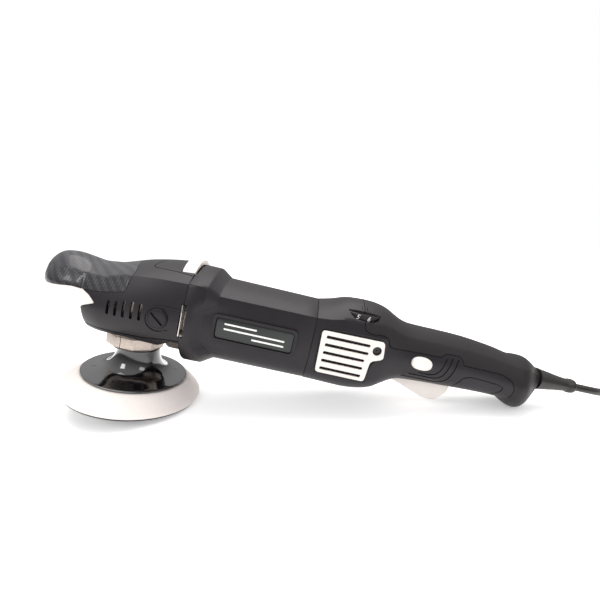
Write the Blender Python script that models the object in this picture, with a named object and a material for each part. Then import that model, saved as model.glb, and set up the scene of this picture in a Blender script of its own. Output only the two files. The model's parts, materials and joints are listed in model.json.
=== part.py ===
"""Dual action polisher, built from separate pieces in its resting pose.

The pieces are drawn in the machine's own frame: +X runs from the nose to the handle, +Z along the
spindle, and the zero is on the spindle's axis in the plane of the hook face. Lengths are written in
millimetres and made metres in one place. The machine stands nose up, on the rear edge of its plate
and on the end of its handle, so the whole frame is tilted about Y by REST_TILT.
"""

import math

import bmesh
import bpy
from mathutils import Matrix, Vector

MM = 0.001

# The resting pose: tilt of the spindle towards the handle, and the place of the machine's zero.
REST_TILT = math.radians(12.0)
REST_X = -186.344
REST_Z = 13.78

# Driving dimensions, mm
FIT = 0.3                    # gap between pieces that touch
MOTOR_Z = 90.0               # height of the motor's axis over the hook face
CORD_Z = 98.5                # height of the cord's exit
ORBIT = 4.0                  # offset of the plate's axis from the spindle's: an 8 mm orbit
PAD_RADIUS = 62.5            # a 125 mm plate
RIM_RADIUS = 47.9            # of the plate's disc
RIM_Z = 17.8                 # underside of the disc
HOOK_THICK = 1.6
NECK_RADIUS = 19.5
HUB_RADIUS = 26.5
HUB_LOW, HUB_HIGH = 46.3, 61.7
CASE_RADIUS = 33.0
FLANGE_RADIUS = 38.0
WALL = 2.5
COLLAR_X = 53.0              # front of the motor housing
HANDLE_X = 164.5             # front of the rear handle
HANDLE_END = 390.5
TRIGGER_PIVOT = (251.0, 76.5)
LOCK_ON = (266.0, 96.0)
DIAL_CENTRE = (205.5, -7.0, 123.0)
DIAL_RADIUS = 22.6
COVER_CAP = (33.5, 89.7)
GRILLE_SCREW = (221.3, 100.9)
PINION_TEETH, GEAR_TEETH = 7, 21

# The cord, m: about 4 m in all, with the coil just outside its first bend
CORD_RADIUS = 3.75
COIL_COLUMNS, COIL_ROWS = 3, 4
COIL_INNER_TURN = 39.5       # centre line of the innermost turn
COIL_CENTRE = (0.3606, -0.062)


def finish(name, colour, roughness, metallic=0.0):
    """Makes one Principled material."""
    material = bpy.data.materials.new(name)
    material.use_nodes = True
    shader = material.node_tree.nodes["Principled BSDF"]
    shader.inputs["Base Color"].default_value = (*colour, 1.0)
    shader.inputs["Roughness"].default_value = roughness
    shader.inputs["Metallic"].default_value = metallic
    material.diffuse_color = (*colour, 1.0)
    return material


def empty(name, parent=None, location=(0.0, 0.0, 0.0)):
    """An empty whose place, in mm, is given in its parent's frame."""
    holder = bpy.data.objects.new(name, None)
    holder.location = Vector(location) * MM
    holder.parent = parent
    bpy.context.collection.objects.link(holder)
    return holder


def solid(name, shape, parent, colour, roughness, metallic=0.0, smooth=True):
    """Turns a bmesh drawn in the machine's frame, in mm, into an object under its parent empty."""
    bmesh.ops.translate(shape, verts=shape.verts, vec=-parent.location / MM if parent.parent else Vector())
    bmesh.ops.scale(shape, verts=shape.verts, vec=(MM, MM, MM))
    mesh = bpy.data.meshes.new(name)
    shape.to_mesh(mesh)
    shape.free()
    if smooth:
        mesh.shade_smooth()
        mesh.set_sharp_from_angle(angle=math.radians(35.0))
    item = bpy.data.objects.new(name, mesh)
    item.parent = parent
    bpy.context.collection.objects.link(item)
    item.data.materials.append(finish(name + "_finish", colour, roughness, metallic))
    return item


def cutter(name, shape, parent):
    """A guide solid for a Boolean, left out of the model."""
    item = solid(name, shape, parent, (0.5, 0.5, 0.5), 0.5, smooth=False)
    item.hide_render = True
    item.display_type = "WIRE"
    return item


def combine(item, other, operation):
    """Adds a live Boolean: DIFFERENCE, UNION or INTERSECT."""
    modifier = item.modifiers.new(operation.lower() + "_" + other.name, "BOOLEAN")
    modifier.solver = "EXACT"
    modifier.operation = operation
    modifier.object = other


def bevelled(item, width, segments=1):
    """Rounds an object's hard edges; the width is in mm."""
    modifier = item.modifiers.new("edges", "BEVEL")
    modifier.width = width * MM
    modifier.segments = segments
    modifier.limit_method = "ANGLE"
    modifier.angle_limit = math.radians(40.0)


def block(low, high):
    """A box between two corners."""
    shape = bmesh.new()
    bmesh.ops.create_cube(shape, size=1.0)
    size = Vector(high) - Vector(low)
    bmesh.ops.scale(shape, verts=shape.verts, vec=size)
    bmesh.ops.translate(shape, verts=shape.verts, vec=(Vector(high) + Vector(low)) / 2.0)
    return shape


def prism(outline, low_y, high_y):
    """An outline of (x, z) points, extruded along Y."""
    shape = bmesh.new()
    face = shape.faces.new([shape.verts.new((x, low_y, z)) for x, z in outline])
    pushed = bmesh.ops.extrude_face_region(shape, geom=[face])["geom"]
    moved = [part for part in pushed if isinstance(part, bmesh.types.BMVert)]
    bmesh.ops.translate(shape, verts=moved, vec=(0.0, high_y - low_y, 0.0))
    bmesh.ops.recalc_face_normals(shape, faces=shape.faces)
    return shape


AXIS_TURN = {
    "Z": Matrix.Identity(3),
    "X": Matrix.Rotation(math.radians(90.0), 3, "Y"),
    "Y": Matrix.Rotation(math.radians(-90.0), 3, "X"),
}


def turned(profile, axis="Z", centre=(0.0, 0.0, 0.0), segments=32):
    """Spins a closed profile of (radius, height) points about an axis through a centre."""
    shape = bmesh.new()
    corners = [shape.verts.new((radius, 0.0, height)) for radius, height in profile]
    edges = [shape.edges.new(pair) for pair in zip(corners, corners[1:] + corners[:1])
             if pair[0].co.x > 0.0 or pair[1].co.x > 0.0]
    bmesh.ops.spin(shape, geom=corners + edges, cent=(0, 0, 0), axis=(0, 0, 1), dvec=(0, 0, 0),
                   angle=2.0 * math.pi, steps=segments, use_merge=True)
    bmesh.ops.remove_doubles(shape, verts=shape.verts, dist=1e-4)
    bmesh.ops.dissolve_degenerate(shape, edges=shape.edges, dist=1e-4)
    bmesh.ops.recalc_face_normals(shape, faces=shape.faces)
    bmesh.ops.rotate(shape, verts=shape.verts, cent=(0, 0, 0), matrix=AXIS_TURN[axis])
    bmesh.ops.translate(shape, verts=shape.verts, vec=centre)
    return shape


def toothed(profile, teeth, axis="Z", centre=(0.0, 0.0, 0.0)):
    """As turned, for a profile of (radius, height, root radius, root height) points."""
    shape = bmesh.new()
    steps = teeth * 4
    rings = []
    for step in range(steps):
        angle = 2.0 * math.pi * (step + 0.5) / steps
        crest = step % 4 < 2
        ring = []
        for radius, height, root_radius, root_height in profile:
            reach, level = (radius, height) if crest else (root_radius, root_height)
            ring.append(shape.verts.new((reach * math.cos(angle), reach * math.sin(angle), level)))
        rings.append(ring)
    count = len(profile)
    for step, ring in enumerate(rings):
        following = rings[(step + 1) % steps]
        for point in range(count):
            after = (point + 1) % count
            shape.faces.new((ring[point], following[point], following[after], ring[after]))
    bmesh.ops.recalc_face_normals(shape, faces=shape.faces)
    bmesh.ops.rotate(shape, verts=shape.verts, cent=(0, 0, 0), matrix=AXIS_TURN[axis])
    bmesh.ops.translate(shape, verts=shape.verts, vec=centre)
    return shape


def bearing(inner, outer, low, high, axis="Z", centre=(0.0, 0.0, 0.0)):
    """A ball bearing, with its shields dished between the rings."""
    middle = (inner + outer) / 2.0
    dip = 0.6
    profile = [(inner, low), (middle, low + dip), (outer, low), (outer, high), (middle, high - dip),
               (inner, high)]
    return turned(profile, axis, centre, 20)


def section(shape, station, inset, sides):
    """One ring of a body: a rounded section at x, with its own curvature above and below."""
    x, top, bottom, half_width, power_top, power_low = station
    middle = (top + bottom) / 2.0
    half_height = (top - bottom) / 2.0 - inset
    half_width -= inset
    ring = []
    for step in range(sides):
        angle = 2.0 * math.pi * step / sides
        across, up = math.cos(angle), math.sin(angle)
        power = 2.0 / (power_top if up > 0.0 else power_low)
        y = half_width * math.copysign(abs(across) ** power, across)
        z = middle + half_height * math.copysign(abs(up) ** power, up)
        ring.append(shape.verts.new((x, y, z)))
    return ring


def lofted_shell(stations, wall, closed_front=False, sides=24):
    """A hollow body through stations along X, open at the ends that aren't closed."""
    shape = bmesh.new()
    inner_stations = list(stations)
    if closed_front:
        inner_stations = [(stations[0][0] + wall, *stations[0][1:])] + list(stations[1:])
    outer = [section(shape, station, 0.0, sides) for station in stations]
    inner = [section(shape, station, wall, sides) for station in inner_stations]
    for skin in (outer, inner):
        for first, second in zip(skin, skin[1:]):
            for step in range(sides):
                after = (step + 1) % sides
                shape.faces.new((first[step], first[after], second[after], second[step]))
    for end in (0, -1):
        if closed_front and end == 0:
            shape.faces.new(outer[end])
            shape.faces.new(inner[end])
            continue
        for step in range(sides):
            after = (step + 1) % sides
            shape.faces.new((outer[end][step], outer[end][after], inner[end][after], inner[end][step]))
    bmesh.ops.recalc_face_normals(shape, faces=shape.faces)
    return shape


def coil_spring(name, parent, base, height, radius, wire, turns, axis="Z"):
    """A helical spring standing on its base point."""
    curve = bpy.data.curves.new(name, "CURVE")
    curve.dimensions = "3D"
    curve.bevel_depth = wire * MM
    curve.bevel_resolution = 0
    curve.use_fill_caps = True
    spline = curve.splines.new("POLY")
    steps = int(turns * 9)
    spline.points.add(steps)
    origin = Vector(base) - parent.location / MM if parent.parent else Vector(base)
    for step in range(steps + 1):
        angle = 2.0 * math.pi * turns * step / steps
        local = Vector((radius * math.cos(angle), radius * math.sin(angle), height * step / steps))
        spline.points[step].co = (*((AXIS_TURN[axis] @ local + origin) * MM), 1.0)
    item = bpy.data.objects.new(name, curve)
    item.parent = parent
    bpy.context.collection.objects.link(item)
    item.data.materials.append(finish(name + "_finish", (0.55, 0.55, 0.56), 0.35, 1.0))
    return item


# The head and nose, the barrel and the handle: (x, top, bottom, half width, power above, power below)
HEAD_STATIONS = (
    (-89.6, 103.5, 88.5, 5.5, 2.0, 2.0),
    (-87.5, 110.8, 82.5, 9.0, 2.0, 2.0),
    (-83.5, 116.6, 79.8, 14.0, 2.2, 2.2),
    (-77.5, 121.0, 78.8, 21.0, 2.3, 2.4),
    (-70.0, 123.0, 79.0, 26.0, 2.4, 2.5),
    (-62.0, 123.3, 79.5, 28.5, 2.4, 2.6),
    (-52.0, 122.0, 79.5, 29.5, 2.4, 2.6),
    (-44.0, 120.6, 79.0, 30.5, 2.4, 2.6),
    (-40.0, 120.3, 62.0, 31.5, 2.4, 3.0),
    (-36.0, 120.5, 54.0, 33.5, 2.4, 4.0),
    (-22.0, 122.5, 50.0, 38.5, 2.4, 5.0),
    (-8.0, 127.0, 50.0, 41.5, 2.4, 5.0),
    (4.0, 130.8, 50.0, 43.5, 2.4, 5.0),
    (36.0, 137.0, 48.0, 45.8, 2.4, 5.0),
    (COLLAR_X - FIT, 138.6, 47.0, 46.3, 2.4, 5.0),
)
BARREL_STATIONS = (
    (COLLAR_X, 136.5, 43.5, 46.5, 2.5, 2.5),
    (69.0, 136.3, 43.7, 46.3, 2.5, 2.5),
    (79.0, 129.5, 51.0, 39.5, 2.8, 2.8),
    (120.0, 129.0, 51.0, 39.0, 2.8, 2.8),
    (HANDLE_X - FIT, 128.7, 51.0, 38.5, 2.8, 2.8),
)
HANDLE_STATIONS = (
    (HANDLE_X, 128.7, 51.0, 38.5, 2.8, 2.8),
    (177.0, 132.0, 50.5, 38.3, 2.8, 2.8),
    (190.0, 136.3, 50.0, 38.0, 2.8, 2.8),
    (205.0, 137.7, 49.8, 37.5, 2.8, 2.8),
    (218.0, 137.3, 51.5, 36.5, 2.7, 2.7),
    (229.0, 134.8, 55.5, 35.0, 2.6, 2.6),
    (238.0, 130.5, 61.5, 32.5, 2.5, 2.5),
    (246.0, 126.8, 66.8, 30.5, 2.4, 2.5),
    (256.0, 124.8, 70.3, 29.0, 2.3, 2.5),
    (285.0, 124.4, 72.0, 27.0, 2.3, 2.4),
    (310.0, 123.6, 73.0, 26.5, 2.2, 2.3),
    (340.0, 120.2, 74.0, 26.5, 2.2, 2.3),
    (357.0, 117.2, 73.5, 27.6, 2.1, 2.1),
    (363.0, 118.0, 69.2, 28.0, 2.0, 2.0),
    (370.0, 118.0, 66.0, 26.0, 2.0, 2.0),
    (376.0, 116.3, 66.0, 21.0, 2.0, 2.0),
    (382.0, 113.2, 69.0, 14.8, 2.0, 2.0),
    (387.0, 110.4, 79.5, 11.0, 2.0, 2.0),
    (HANDLE_END, CORD_Z + 9.6, CORD_Z - 9.6, 9.6, 2.0, 2.0),
)

# The seams, as (x, z) outlines: carbon cover over the nose, its pale base, and the head's cover
NOSE_SEAM = ((-96.0, 92.0), (-43.0, 93.5), (-24.0, 88.0), (-3.0, 96.0), (1.7, 113.7), (-6.0, 128.5),
             (-8.0, 142.0))
GRILLE_OUTLINE = ((171.0, 109.0), (226.5, 109.8), (228.5, 94.5), (217.8, 90.5), (216.5, 71.3), (172.5, 71.3))
SPLIT_LINE = ((160.0, 114.8), (210.0, 114.8), (228.0, 111.0), (236.0, 102.8), (281.0, 103.2), (296.0, 107.5),
              (306.0, 102.2), (396.0, 101.5))
BADGE_LOW, BADGE_HIGH = (81.0, 82.6), (148.2, 100.4)
DARK = (0.016, 0.014, 0.015)
RUBBER = (0.022, 0.018, 0.016)
PALE = (0.80, 0.77, 0.74)
CAST = (0.36, 0.30, 0.27)
STEEL = (0.55, 0.55, 0.56)


def grown(outline, amount):
    """The outline pushed outwards by an amount, corner by corner."""
    points = [Vector((x, z)) for x, z in outline]
    area = sum(a.x * b.y - b.x * a.y for a, b in zip(points, points[1:] + points[:1]))
    turn = 1.0 if area < 0.0 else -1.0
    pushed = []
    for index, point in enumerate(points):
        before = (point - points[index - 1]).normalized()
        after = (points[(index + 1) % len(points)] - point).normalized()
        normals = [Vector((-side.y, side.x)) * turn for side in (before, after)]
        bisector = (normals[0] + normals[1]).normalized()
        pushed.append(tuple(point + bisector * amount / max(bisector.dot(normals[0]), 0.4)))
    return pushed


def make_nose_and_head(frame):
    """The front grip's two shells and the cover over the gear case, cut from one hollow form."""
    seam = list(NOSE_SEAM)
    top = 150.0
    carbon_region = [(x - FIT / 2, z + FIT / 2) for x, z in seam] + [(-96.0, top)]
    base_region = [(-96.0, 92.0 - FIT / 2), (-43.1, 93.5 - FIT / 2), (-43.1, 70.0), (-96.0, 70.0)]
    shifted = [(x + FIT / 2, z - FIT / 2) for x, z in seam[3:]]
    head_region = [(-43.1 + FIT, 93.0), (-24.0, 88.0 - FIT), *shifted,
                   (-8.0, top), (60.0, top), (60.0, 71.0), (45.0, 71.0), (36.0, 63.0), (-43.1 + FIT, 63.0)]
    pieces = (("nose_grip_cover", carbon_region, DARK, 0.35), ("nose_grip_base", base_region, PALE, 0.45),
              ("head_cover", head_region, DARK, 0.5))
    made = {}
    for name, region, colour, roughness in pieces:
        form = lofted_shell(HEAD_STATIONS, WALL, closed_front=True)
        made[name] = solid(name, form, frame, colour, roughness)
        combine(made[name], cutter(name + "_region", prism(region, -70.0, 70.0), frame), "INTERSECT")
    head = made["head_cover"]
    for index in range(5):
        x = -7.5 + 6.6 * index
        slot = prism([(x - 1.4, 80.0), (x + 1.4, 80.0), (x + 1.4, 99.0), (x - 1.4, 99.0)], -70.0, 70.0)
        combine(head, cutter(f"vent_slot_{index}", slot, frame), "DIFFERENCE")
    for name, side in (("left", -1.0), ("right", 1.0)):
        centre = (COVER_CAP[0], 0.0, COVER_CAP[1])
        hole = turned([(0.0, 36.0), (9.4, 36.0), (9.4, 60.0), (0.0, 60.0)], "Y", centre, 28)
        cap = turned([(0.0, 41.0), (7.5, 41.0), (9.0, 42.2), (9.0, 46.6), (7.6, 47.6), (0.0, 47.6)], "Y",
                     centre, 28)
        if side < 0.0:
            for shape in (hole, cap):
                half_turn = Matrix.Rotation(math.pi, 3, "Z")
                bmesh.ops.rotate(shape, verts=shape.verts, cent=centre, matrix=half_turn)
        combine(head, cutter("cap_hole_" + name, hole, frame), "DIFFERENCE")
        item = solid("cover_cap_" + name, cap, frame, DARK, 0.45)
        slot = block((-10.0, min(side * 46.2, side * 50.0), -0.8), (10.0, max(side * 46.2, side * 50.0), 0.8))
        slant = Matrix.Rotation(math.radians(48.0), 3, "Y")
        bmesh.ops.rotate(slot, verts=slot.verts, cent=(0, 0, 0), matrix=slant)
        bmesh.ops.translate(slot, verts=slot.verts, vec=(COVER_CAP[0], 0.0, COVER_CAP[1]))
        combine(item, cutter("cap_slot_" + name, slot, frame), "DIFFERENCE")
    notch = block((40.6, -27.0, 124.0), (60.0, 27.0, 150.0))
    combine(head, cutter("button_notch", notch, frame), "DIFFERENCE")


def make_spindle_lock(frame, button_axis):
    """The arched button behind the head cover, its pin and its spring."""
    outline = []
    for y, z in ((-26.0, 130.2), (-20.0, 134.4), (-10.0, 139.2), (0.0, 140.6), (10.0, 139.2), (20.0, 134.4),
                 (26.0, 130.2)):
        outline.append((y, z))
    outline += [(y, z - 4.6) for y, z in reversed(outline)]
    shape = prism(outline, 41.0, COLLAR_X - 0.6)
    bmesh.ops.transform(shape, verts=shape.verts, space=Matrix.Identity(4),
                        matrix=Matrix(((0, 1, 0, 0), (1, 0, 0, 0), (0, 0, 1, 0), (0, 0, 0, 1))))
    bmesh.ops.reverse_faces(shape, faces=shape.faces)
    button = solid("spindle_lock_button", shape, button_axis, PALE, 0.4)
    pin = turned([(0.0, 99.2), (2.4, 99.2), (2.4, 137.0), (0.0, 137.0)], "Z", (46.5, 0.0, 0.0), 16)
    combine(button, cutter("lock_pin", pin, button_axis), "UNION")
    coil_spring("spindle_lock_spring", frame, (46.5, 0.0, 129.2), 5.2, 4.6, 0.45, 2.5)


def make_gear_case(frame):
    """Cast case round the gears, with a flange to the motor, and the bearings' retainer under it."""
    case = solid("gear_case", turned([(0.0, 111.0), (26.0, 111.0), (31.0, 108.0), (CASE_RADIUS, 101.0),
                                      (CASE_RADIUS, 63.6), (0.0, 63.6)], segments=28), frame, CAST, 0.55, 0.8)
    flange = [(0.0, 28.0), (29.0, 28.0), (FLANGE_RADIUS, 37.0), (FLANGE_RADIUS, 56.2), (0.0, 56.2)]
    along = (0.0, 0.0, MOTOR_Z)
    combine(case, cutter("flange", turned(flange, "X", along, 28), frame), "UNION")
    hole = turned([(0.0, 110.0), (2.9, 110.0), (2.9, 135.0), (0.0, 135.0)], "Z", (46.5, 0.0, 0.0), 14)
    combine(case, cutter("lock_pin_hole", hole, frame), "DIFFERENCE")
    hollow = [(0.0, 60.0), (24.3, 60.0), (24.3, 66.2), (16.3, 66.2), (16.3, 73.6), (28.5, 73.6),
              (28.5, 98.8), (11.3, 98.8),
              (11.3, 107.2), (0.0, 107.2)]
    combine(case, cutter("case_hollow", turned(hollow, segments=28), frame), "DIFFERENCE")
    throat = [(0.0, 3.0), (11.7, 3.0), (11.7, 34.2), (30.0, 34.2), (30.0, 66.0), (0.0, 66.0)]
    combine(case, cutter("flange_hollow", turned(throat, "X", along, 28), frame), "DIFFERENCE")
    retainer = [(9.2, 63.2), (24.0, 63.2), (24.0, 65.9), (9.2, 65.9)]
    solid("bearing_retainer", turned(retainer, segments=32), frame, STEEL, 0.4, 1.0)
    solid("spindle_lower_bearing", bearing(8.3, 16.0, 66.6, 73.2), frame, STEEL, 0.25, 1.0)
    solid("spindle_upper_bearing", bearing(6.3, 11.0, 99.6, 106.6), frame, STEEL, 0.25, 1.0)


def make_spindle(axis):
    """The driven shaft, its bevel gear and the eccentric hub with the plate's bearing."""
    shaft = [(0.0, 56.4), (8.0, 56.4), (8.0, 73.9), (6.0, 73.9), (6.0, 106.8), (0.0, 106.8)]
    solid("spindle", turned(shaft, segments=28), axis, STEEL, 0.3, 1.0)
    gear = [(6.3, 74.2, 6.3, 74.2), (17.0, 74.2, 17.0, 74.2), (24.8, 78.5, 24.8, 78.5),
            (24.8, 81.4, 24.8, 80.0),
            (15.0, 84.0, 15.0, 83.0), (13.5, 81.5, 13.5, 81.5), (6.3, 81.5, 6.3, 81.5)]
    solid("bevel_gear", toothed(gear, GEAR_TEETH), axis, (0.4, 0.4, 0.42), 0.35, 1.0, smooth=False)
    sides = 10
    hub_profile = [(0.0, HUB_LOW), (HUB_RADIUS - 3.0, HUB_LOW), (HUB_RADIUS, HUB_LOW + 4.5),
                   (HUB_RADIUS, HUB_HIGH),
                   (0.0, HUB_HIGH)]
    hub = solid("eccentric_hub", turned(hub_profile, segments=sides), axis, CAST, 0.5, 0.85, smooth=False)
    bore = turned([(0.0, 56.1), (8.3, 56.1), (8.3, 70.0), (0.0, 70.0)], segments=28)
    combine(hub, cutter("spindle_bore", bore, axis), "DIFFERENCE")
    pocket = turned([(0.0, 40.0), (11.3, 40.0), (11.3, 55.6), (0.0, 55.6)], "Z", (ORBIT, 0.0, 0.0), 28)
    combine(hub, cutter("bearing_pocket", pocket, axis), "DIFFERENCE")
    solid("plate_bearing", bearing(5.3, 11.0, 47.2, 55.2, centre=(ORBIT, 0.0, 0.0)), axis, STEEL, 0.25, 1.0)


def make_plate(axis):
    """The plate that orbits and turns freely on the eccentric hub."""
    centre = (ORBIT, 0.0, 0.0)
    shaft = [(3.5, 26.5), (5.0, 26.5), (5.0, 55.0), (0.0, 55.0), (0.0, 42.0), (3.5, 42.0)]
    solid("plate_shaft", turned(shaft, "Z", centre, 20), axis, STEEL, 0.3, 1.0)
    bolt = [(0.0, 21.0), (3.0, 21.0), (3.0, 18.6), (8.3, 18.6), (8.3, 23.6), (3.1, 23.6), (3.1, 40.0),
            (0.0, 40.0)]
    solid("plate_bolt", turned(bolt, "Z", centre, 16), axis, (0.3, 0.3, 0.31), 0.35, 1.0)
    plate = [(5.3, 24.2), (8.9, 24.2), (8.9, RIM_Z), (RIM_RADIUS, RIM_Z), (RIM_RADIUS, 19.4), (40.0, 20.7),
             (29.0, 24.2), (22.4, 31.5), (NECK_RADIUS, 40.5), (NECK_RADIUS, HUB_LOW - 0.6),
             (5.3, HUB_LOW - 0.6)]
    solid("backing_plate", turned(plate, "Z", centre, 40), axis, (0.012, 0.011, 0.012), 0.12)
    top = RIM_Z - FIT
    low = HOOK_THICK + FIT
    foam = [(12.0, low), (PAD_RADIUS, low), (60.8, 5.4), (56.2, 10.2), (48.8, top), (12.0, top)]
    solid("foam_ring", turned(foam, "Z", centre, 44), axis, PALE, 0.85)
    hook = [(12.0, 0.0), (PAD_RADIUS - 0.2, 0.0), (PAD_RADIUS - 0.2, HOOK_THICK), (12.0, HOOK_THICK)]
    solid("hook_pad", turned(hook, "Z", centre, 44), axis, (0.02, 0.02, 0.02), 0.95)


def make_armature(axis):
    """Everything that turns with the motor's shaft."""
    centre = (0.0, 0.0, MOTOR_Z)
    shaft = [(0.0, 12.0), (4.0, 12.0), (4.0, 33.8), (5.0, 33.8), (5.0, 172.5), (0.0, 172.5)]
    solid("armature_shaft", turned(shaft, "X", centre, 20), axis, STEEL, 0.3, 1.0)
    pinion = [(4.3, 15.0, 4.3, 15.0), (5.0, 15.0, 4.6, 15.0), (7.4, 24.0, 6.3, 24.0), (7.4, 26.5, 6.3, 26.5),
              (4.3, 26.5, 4.3, 26.5)]
    solid("bevel_pinion", toothed(pinion, PINION_TEETH, "X", centre), axis, (0.4, 0.4, 0.42), 0.35, 1.0,
          smooth=False)
    fan = [(5.3, 57.0, 5.3, 64.6), (37.0, 57.0, 37.0, 64.6), (37.0, 66.5, 37.0, 66.5), (5.3, 66.5, 5.3, 66.5)]
    solid("cooling_fan", toothed(fan, 9, "X", centre), axis, (0.03, 0.03, 0.03), 0.5, smooth=False)
    core = [(5.3, 80.0, 5.3, 80.0), (15.0, 80.0, 13.0, 80.0), (15.0, 86.0, 13.0, 86.0),
            (20.8, 86.0, 18.6, 86.0),
            (20.8, 124.0, 18.6, 124.0), (15.0, 124.0, 13.0, 124.0), (15.0, 131.0, 13.0, 131.0), (5.3, 131.0,
                                                                                                 5.3, 131.0)]
    solid("armature_core", toothed(core, 8, "X", centre), axis, (0.35, 0.14, 0.06), 0.45, 0.6, smooth=False)
    bars = [(5.3, 140.0, 5.3, 140.0), (12.0, 140.0, 11.6, 140.0), (12.0, 154.0, 11.6, 154.0),
            (5.3, 154.0, 5.3, 154.0)]
    solid("commutator", toothed(bars, 8, "X", centre), axis, (0.72, 0.36, 0.2), 0.3, 1.0, smooth=False)


def make_motor(frame):
    """The barrel and all that stands still inside it."""
    centre = (0.0, 0.0, MOTOR_Z)
    housing = solid("motor_housing", lofted_shell(BARREL_STATIONS, 3.0), frame, DARK, 0.5)
    floor_y = 37.9
    for name, side in (("left", -1.0), ("right", 1.0)):
        ends = sorted((side * floor_y, side * 60.0))
        recess = block((BADGE_LOW[0] - 0.8, ends[0], BADGE_LOW[1] - 0.8),
                       (BADGE_HIGH[0] + 0.8, ends[1], BADGE_HIGH[1] + 0.8))
        combine(housing, cutter("badge_recess_" + name, recess, frame), "DIFFERENCE")
        ends = sorted((side * (floor_y + FIT), side * (floor_y + 1.3)))
        plate = block((BADGE_LOW[0], ends[0], BADGE_LOW[1]), (BADGE_HIGH[0], ends[1], BADGE_HIGH[1]))
        solid("badge_" + name, plate, frame, (0.02, 0.026, 0.022), 0.3)
    front_plate = [(13.3, 34.6), (29.7, 34.6), (29.7, 43.0), (20.0, 43.0), (20.0, 41.6), (13.3, 41.6)]
    solid("front_bearing_plate", turned(front_plate, "X", centre, 32), frame, CAST, 0.5, 0.8)
    solid("motor_front_bearing", bearing(5.3, 13.0, 34.6, 41.6, "X", centre), frame, STEEL, 0.25, 1.0)
    rear_plate = [(11.3, 163.0), (33.5, 163.0), (33.5, 166.5), (16.0, 166.5), (16.0, 171.0), (11.3, 171.0)]
    solid("rear_bearing_plate", turned(rear_plate, "X", centre, 32), frame, (0.03, 0.03, 0.03), 0.5)
    solid("motor_rear_bearing", bearing(5.3, 11.0, 163.5, 170.5, "X", centre), frame, STEEL, 0.25, 1.0)
    stack = turned([(22.0, 84.0), (35.3, 84.0), (35.3, 126.0), (22.0, 126.0)], "X", centre, 32)
    solid("stator_core", stack, frame,
          (0.25, 0.25, 0.27), 0.5, 0.8)
    for name, low in (("field_coil_front", 80.2), ("field_coil_rear", 126.4)):
        ring = [(23.0, low), (32.0, low), (32.0, low + 3.4), (23.0, low + 3.4)]
        solid(name, turned(ring, "X", centre, 28), frame, (0.5, 0.18, 0.07), 0.4, 0.7)
    for name, side in (("left", -1.0), ("right", 1.0)):
        near, far = sorted((side * 12.4, side * 26.0))
        solid("carbon_brush_" + name, block((143.5, near, 86.6), (150.5, far, 93.4)), frame,
              (0.06, 0.06, 0.065), 0.6)
        near, far = sorted((side * 14.5, side * 32.0))
        holder = solid("brush_holder_" + name, block((141.0, near, 84.0), (153.0, far, 96.0)), frame,
                       (0.7, 0.5, 0.2), 0.35, 1.0)
        near, far = sorted((side * 10.0, side * 29.5))
        channel = block((143.2, near, 86.3), (150.8, far, 93.7))
        combine(holder, cutter("brush_channel_" + name, channel, frame), "DIFFERENCE")


def make_handle(frame):
    """The rear handle's shells, with their windows for the dial, the grilles, the button and the trigger."""
    shells = {}
    upper = [(x, z + FIT / 2) for x, z in SPLIT_LINE] + [(396.0, 150.0), (160.0, 150.0)]
    lower = [(x, z - FIT / 2) for x, z in SPLIT_LINE] + [(396.0, 40.0), (160.0, 40.0)]
    for name, region, colour in (("handle_upper_shell", upper, RUBBER), ("handle_lower_shell", lower, DARK)):
        form = lofted_shell(HANDLE_STATIONS, WALL)
        shells[name] = solid(name, form, frame, colour, 0.55)
        combine(shells[name], cutter(name + "_region", prism(region, -60.0, 60.0), frame), "INTERSECT")
    window = [(189.5, 130.6), (194.8, 121.8), (214.5, 121.8), (221.0, 127.5), (219.5, 130.6)]
    combine(shells["handle_upper_shell"], cutter("dial_window", prism(window, -60.0, -22.0), frame),
            "DIFFERENCE")
    low = shells["handle_lower_shell"]
    for name, side in (("left", -1.0), ("right", 1.0)):
        near, far = sorted((side * 22.0, side * 60.0))
        opening = prism(grown(GRILLE_OUTLINE, FIT), near, far)
        combine(low, cutter("grille_opening_" + name, opening, frame), "DIFFERENCE")
        make_grille(frame, name, side)
    button_hole = oval(LOCK_ON, 10.1, 6.4, -60.0, -18.0)
    combine(low, cutter("button_hole", button_hole, frame), "DIFFERENCE")
    slot = block((248.3, -9.8, 60.0), (312.5, 9.8, 80.0))
    combine(low, cutter("trigger_slot", slot, frame), "DIFFERENCE")


def make_grille(frame, name, side):
    """One louvred panel, let into the side of the handle, and its screw."""
    grille = solid("vent_grille_" + name, lofted_shell(HANDLE_STATIONS[:6], WALL), frame, PALE, 0.4)
    near, far = sorted((side * 22.0, side * 60.0))
    combine(grille, cutter("grille_region_" + name, prism(GRILLE_OUTLINE, near, far), frame), "INTERSECT")
    for index in range(5):
        z = 75.4 + 7.1 * index
        slot = block((175.5, near, z - 1.5), (212.5, far, z + 1.5))
        combine(grille, cutter(f"louvre_{name}_{index}", slot, frame), "DIFFERENCE")
    centre = (GRILLE_SCREW[0], 0.0, GRILLE_SCREW[1])
    hole = turned([(0.0, 25.0), (4.4, 25.0), (4.4, 60.0), (0.0, 60.0)], "Y", centre, 20)
    screw = turned([(0.0, 28.0), (2.0, 28.0), (2.0, 32.5), (4.0, 32.5), (4.0, 35.0), (3.2, 35.6),
                    (0.0, 35.6)], "Y", centre, 20)
    if side < 0.0:
        for shape in (hole, screw):
            half_turn = Matrix.Rotation(math.pi, 3, "Z")
            bmesh.ops.rotate(shape, verts=shape.verts, cent=centre, matrix=half_turn)
    combine(grille, cutter("grille_screw_hole_" + name, hole, frame), "DIFFERENCE")
    solid("grille_screw_" + name, screw, frame, (0.02, 0.02, 0.02), 0.4)


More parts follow.
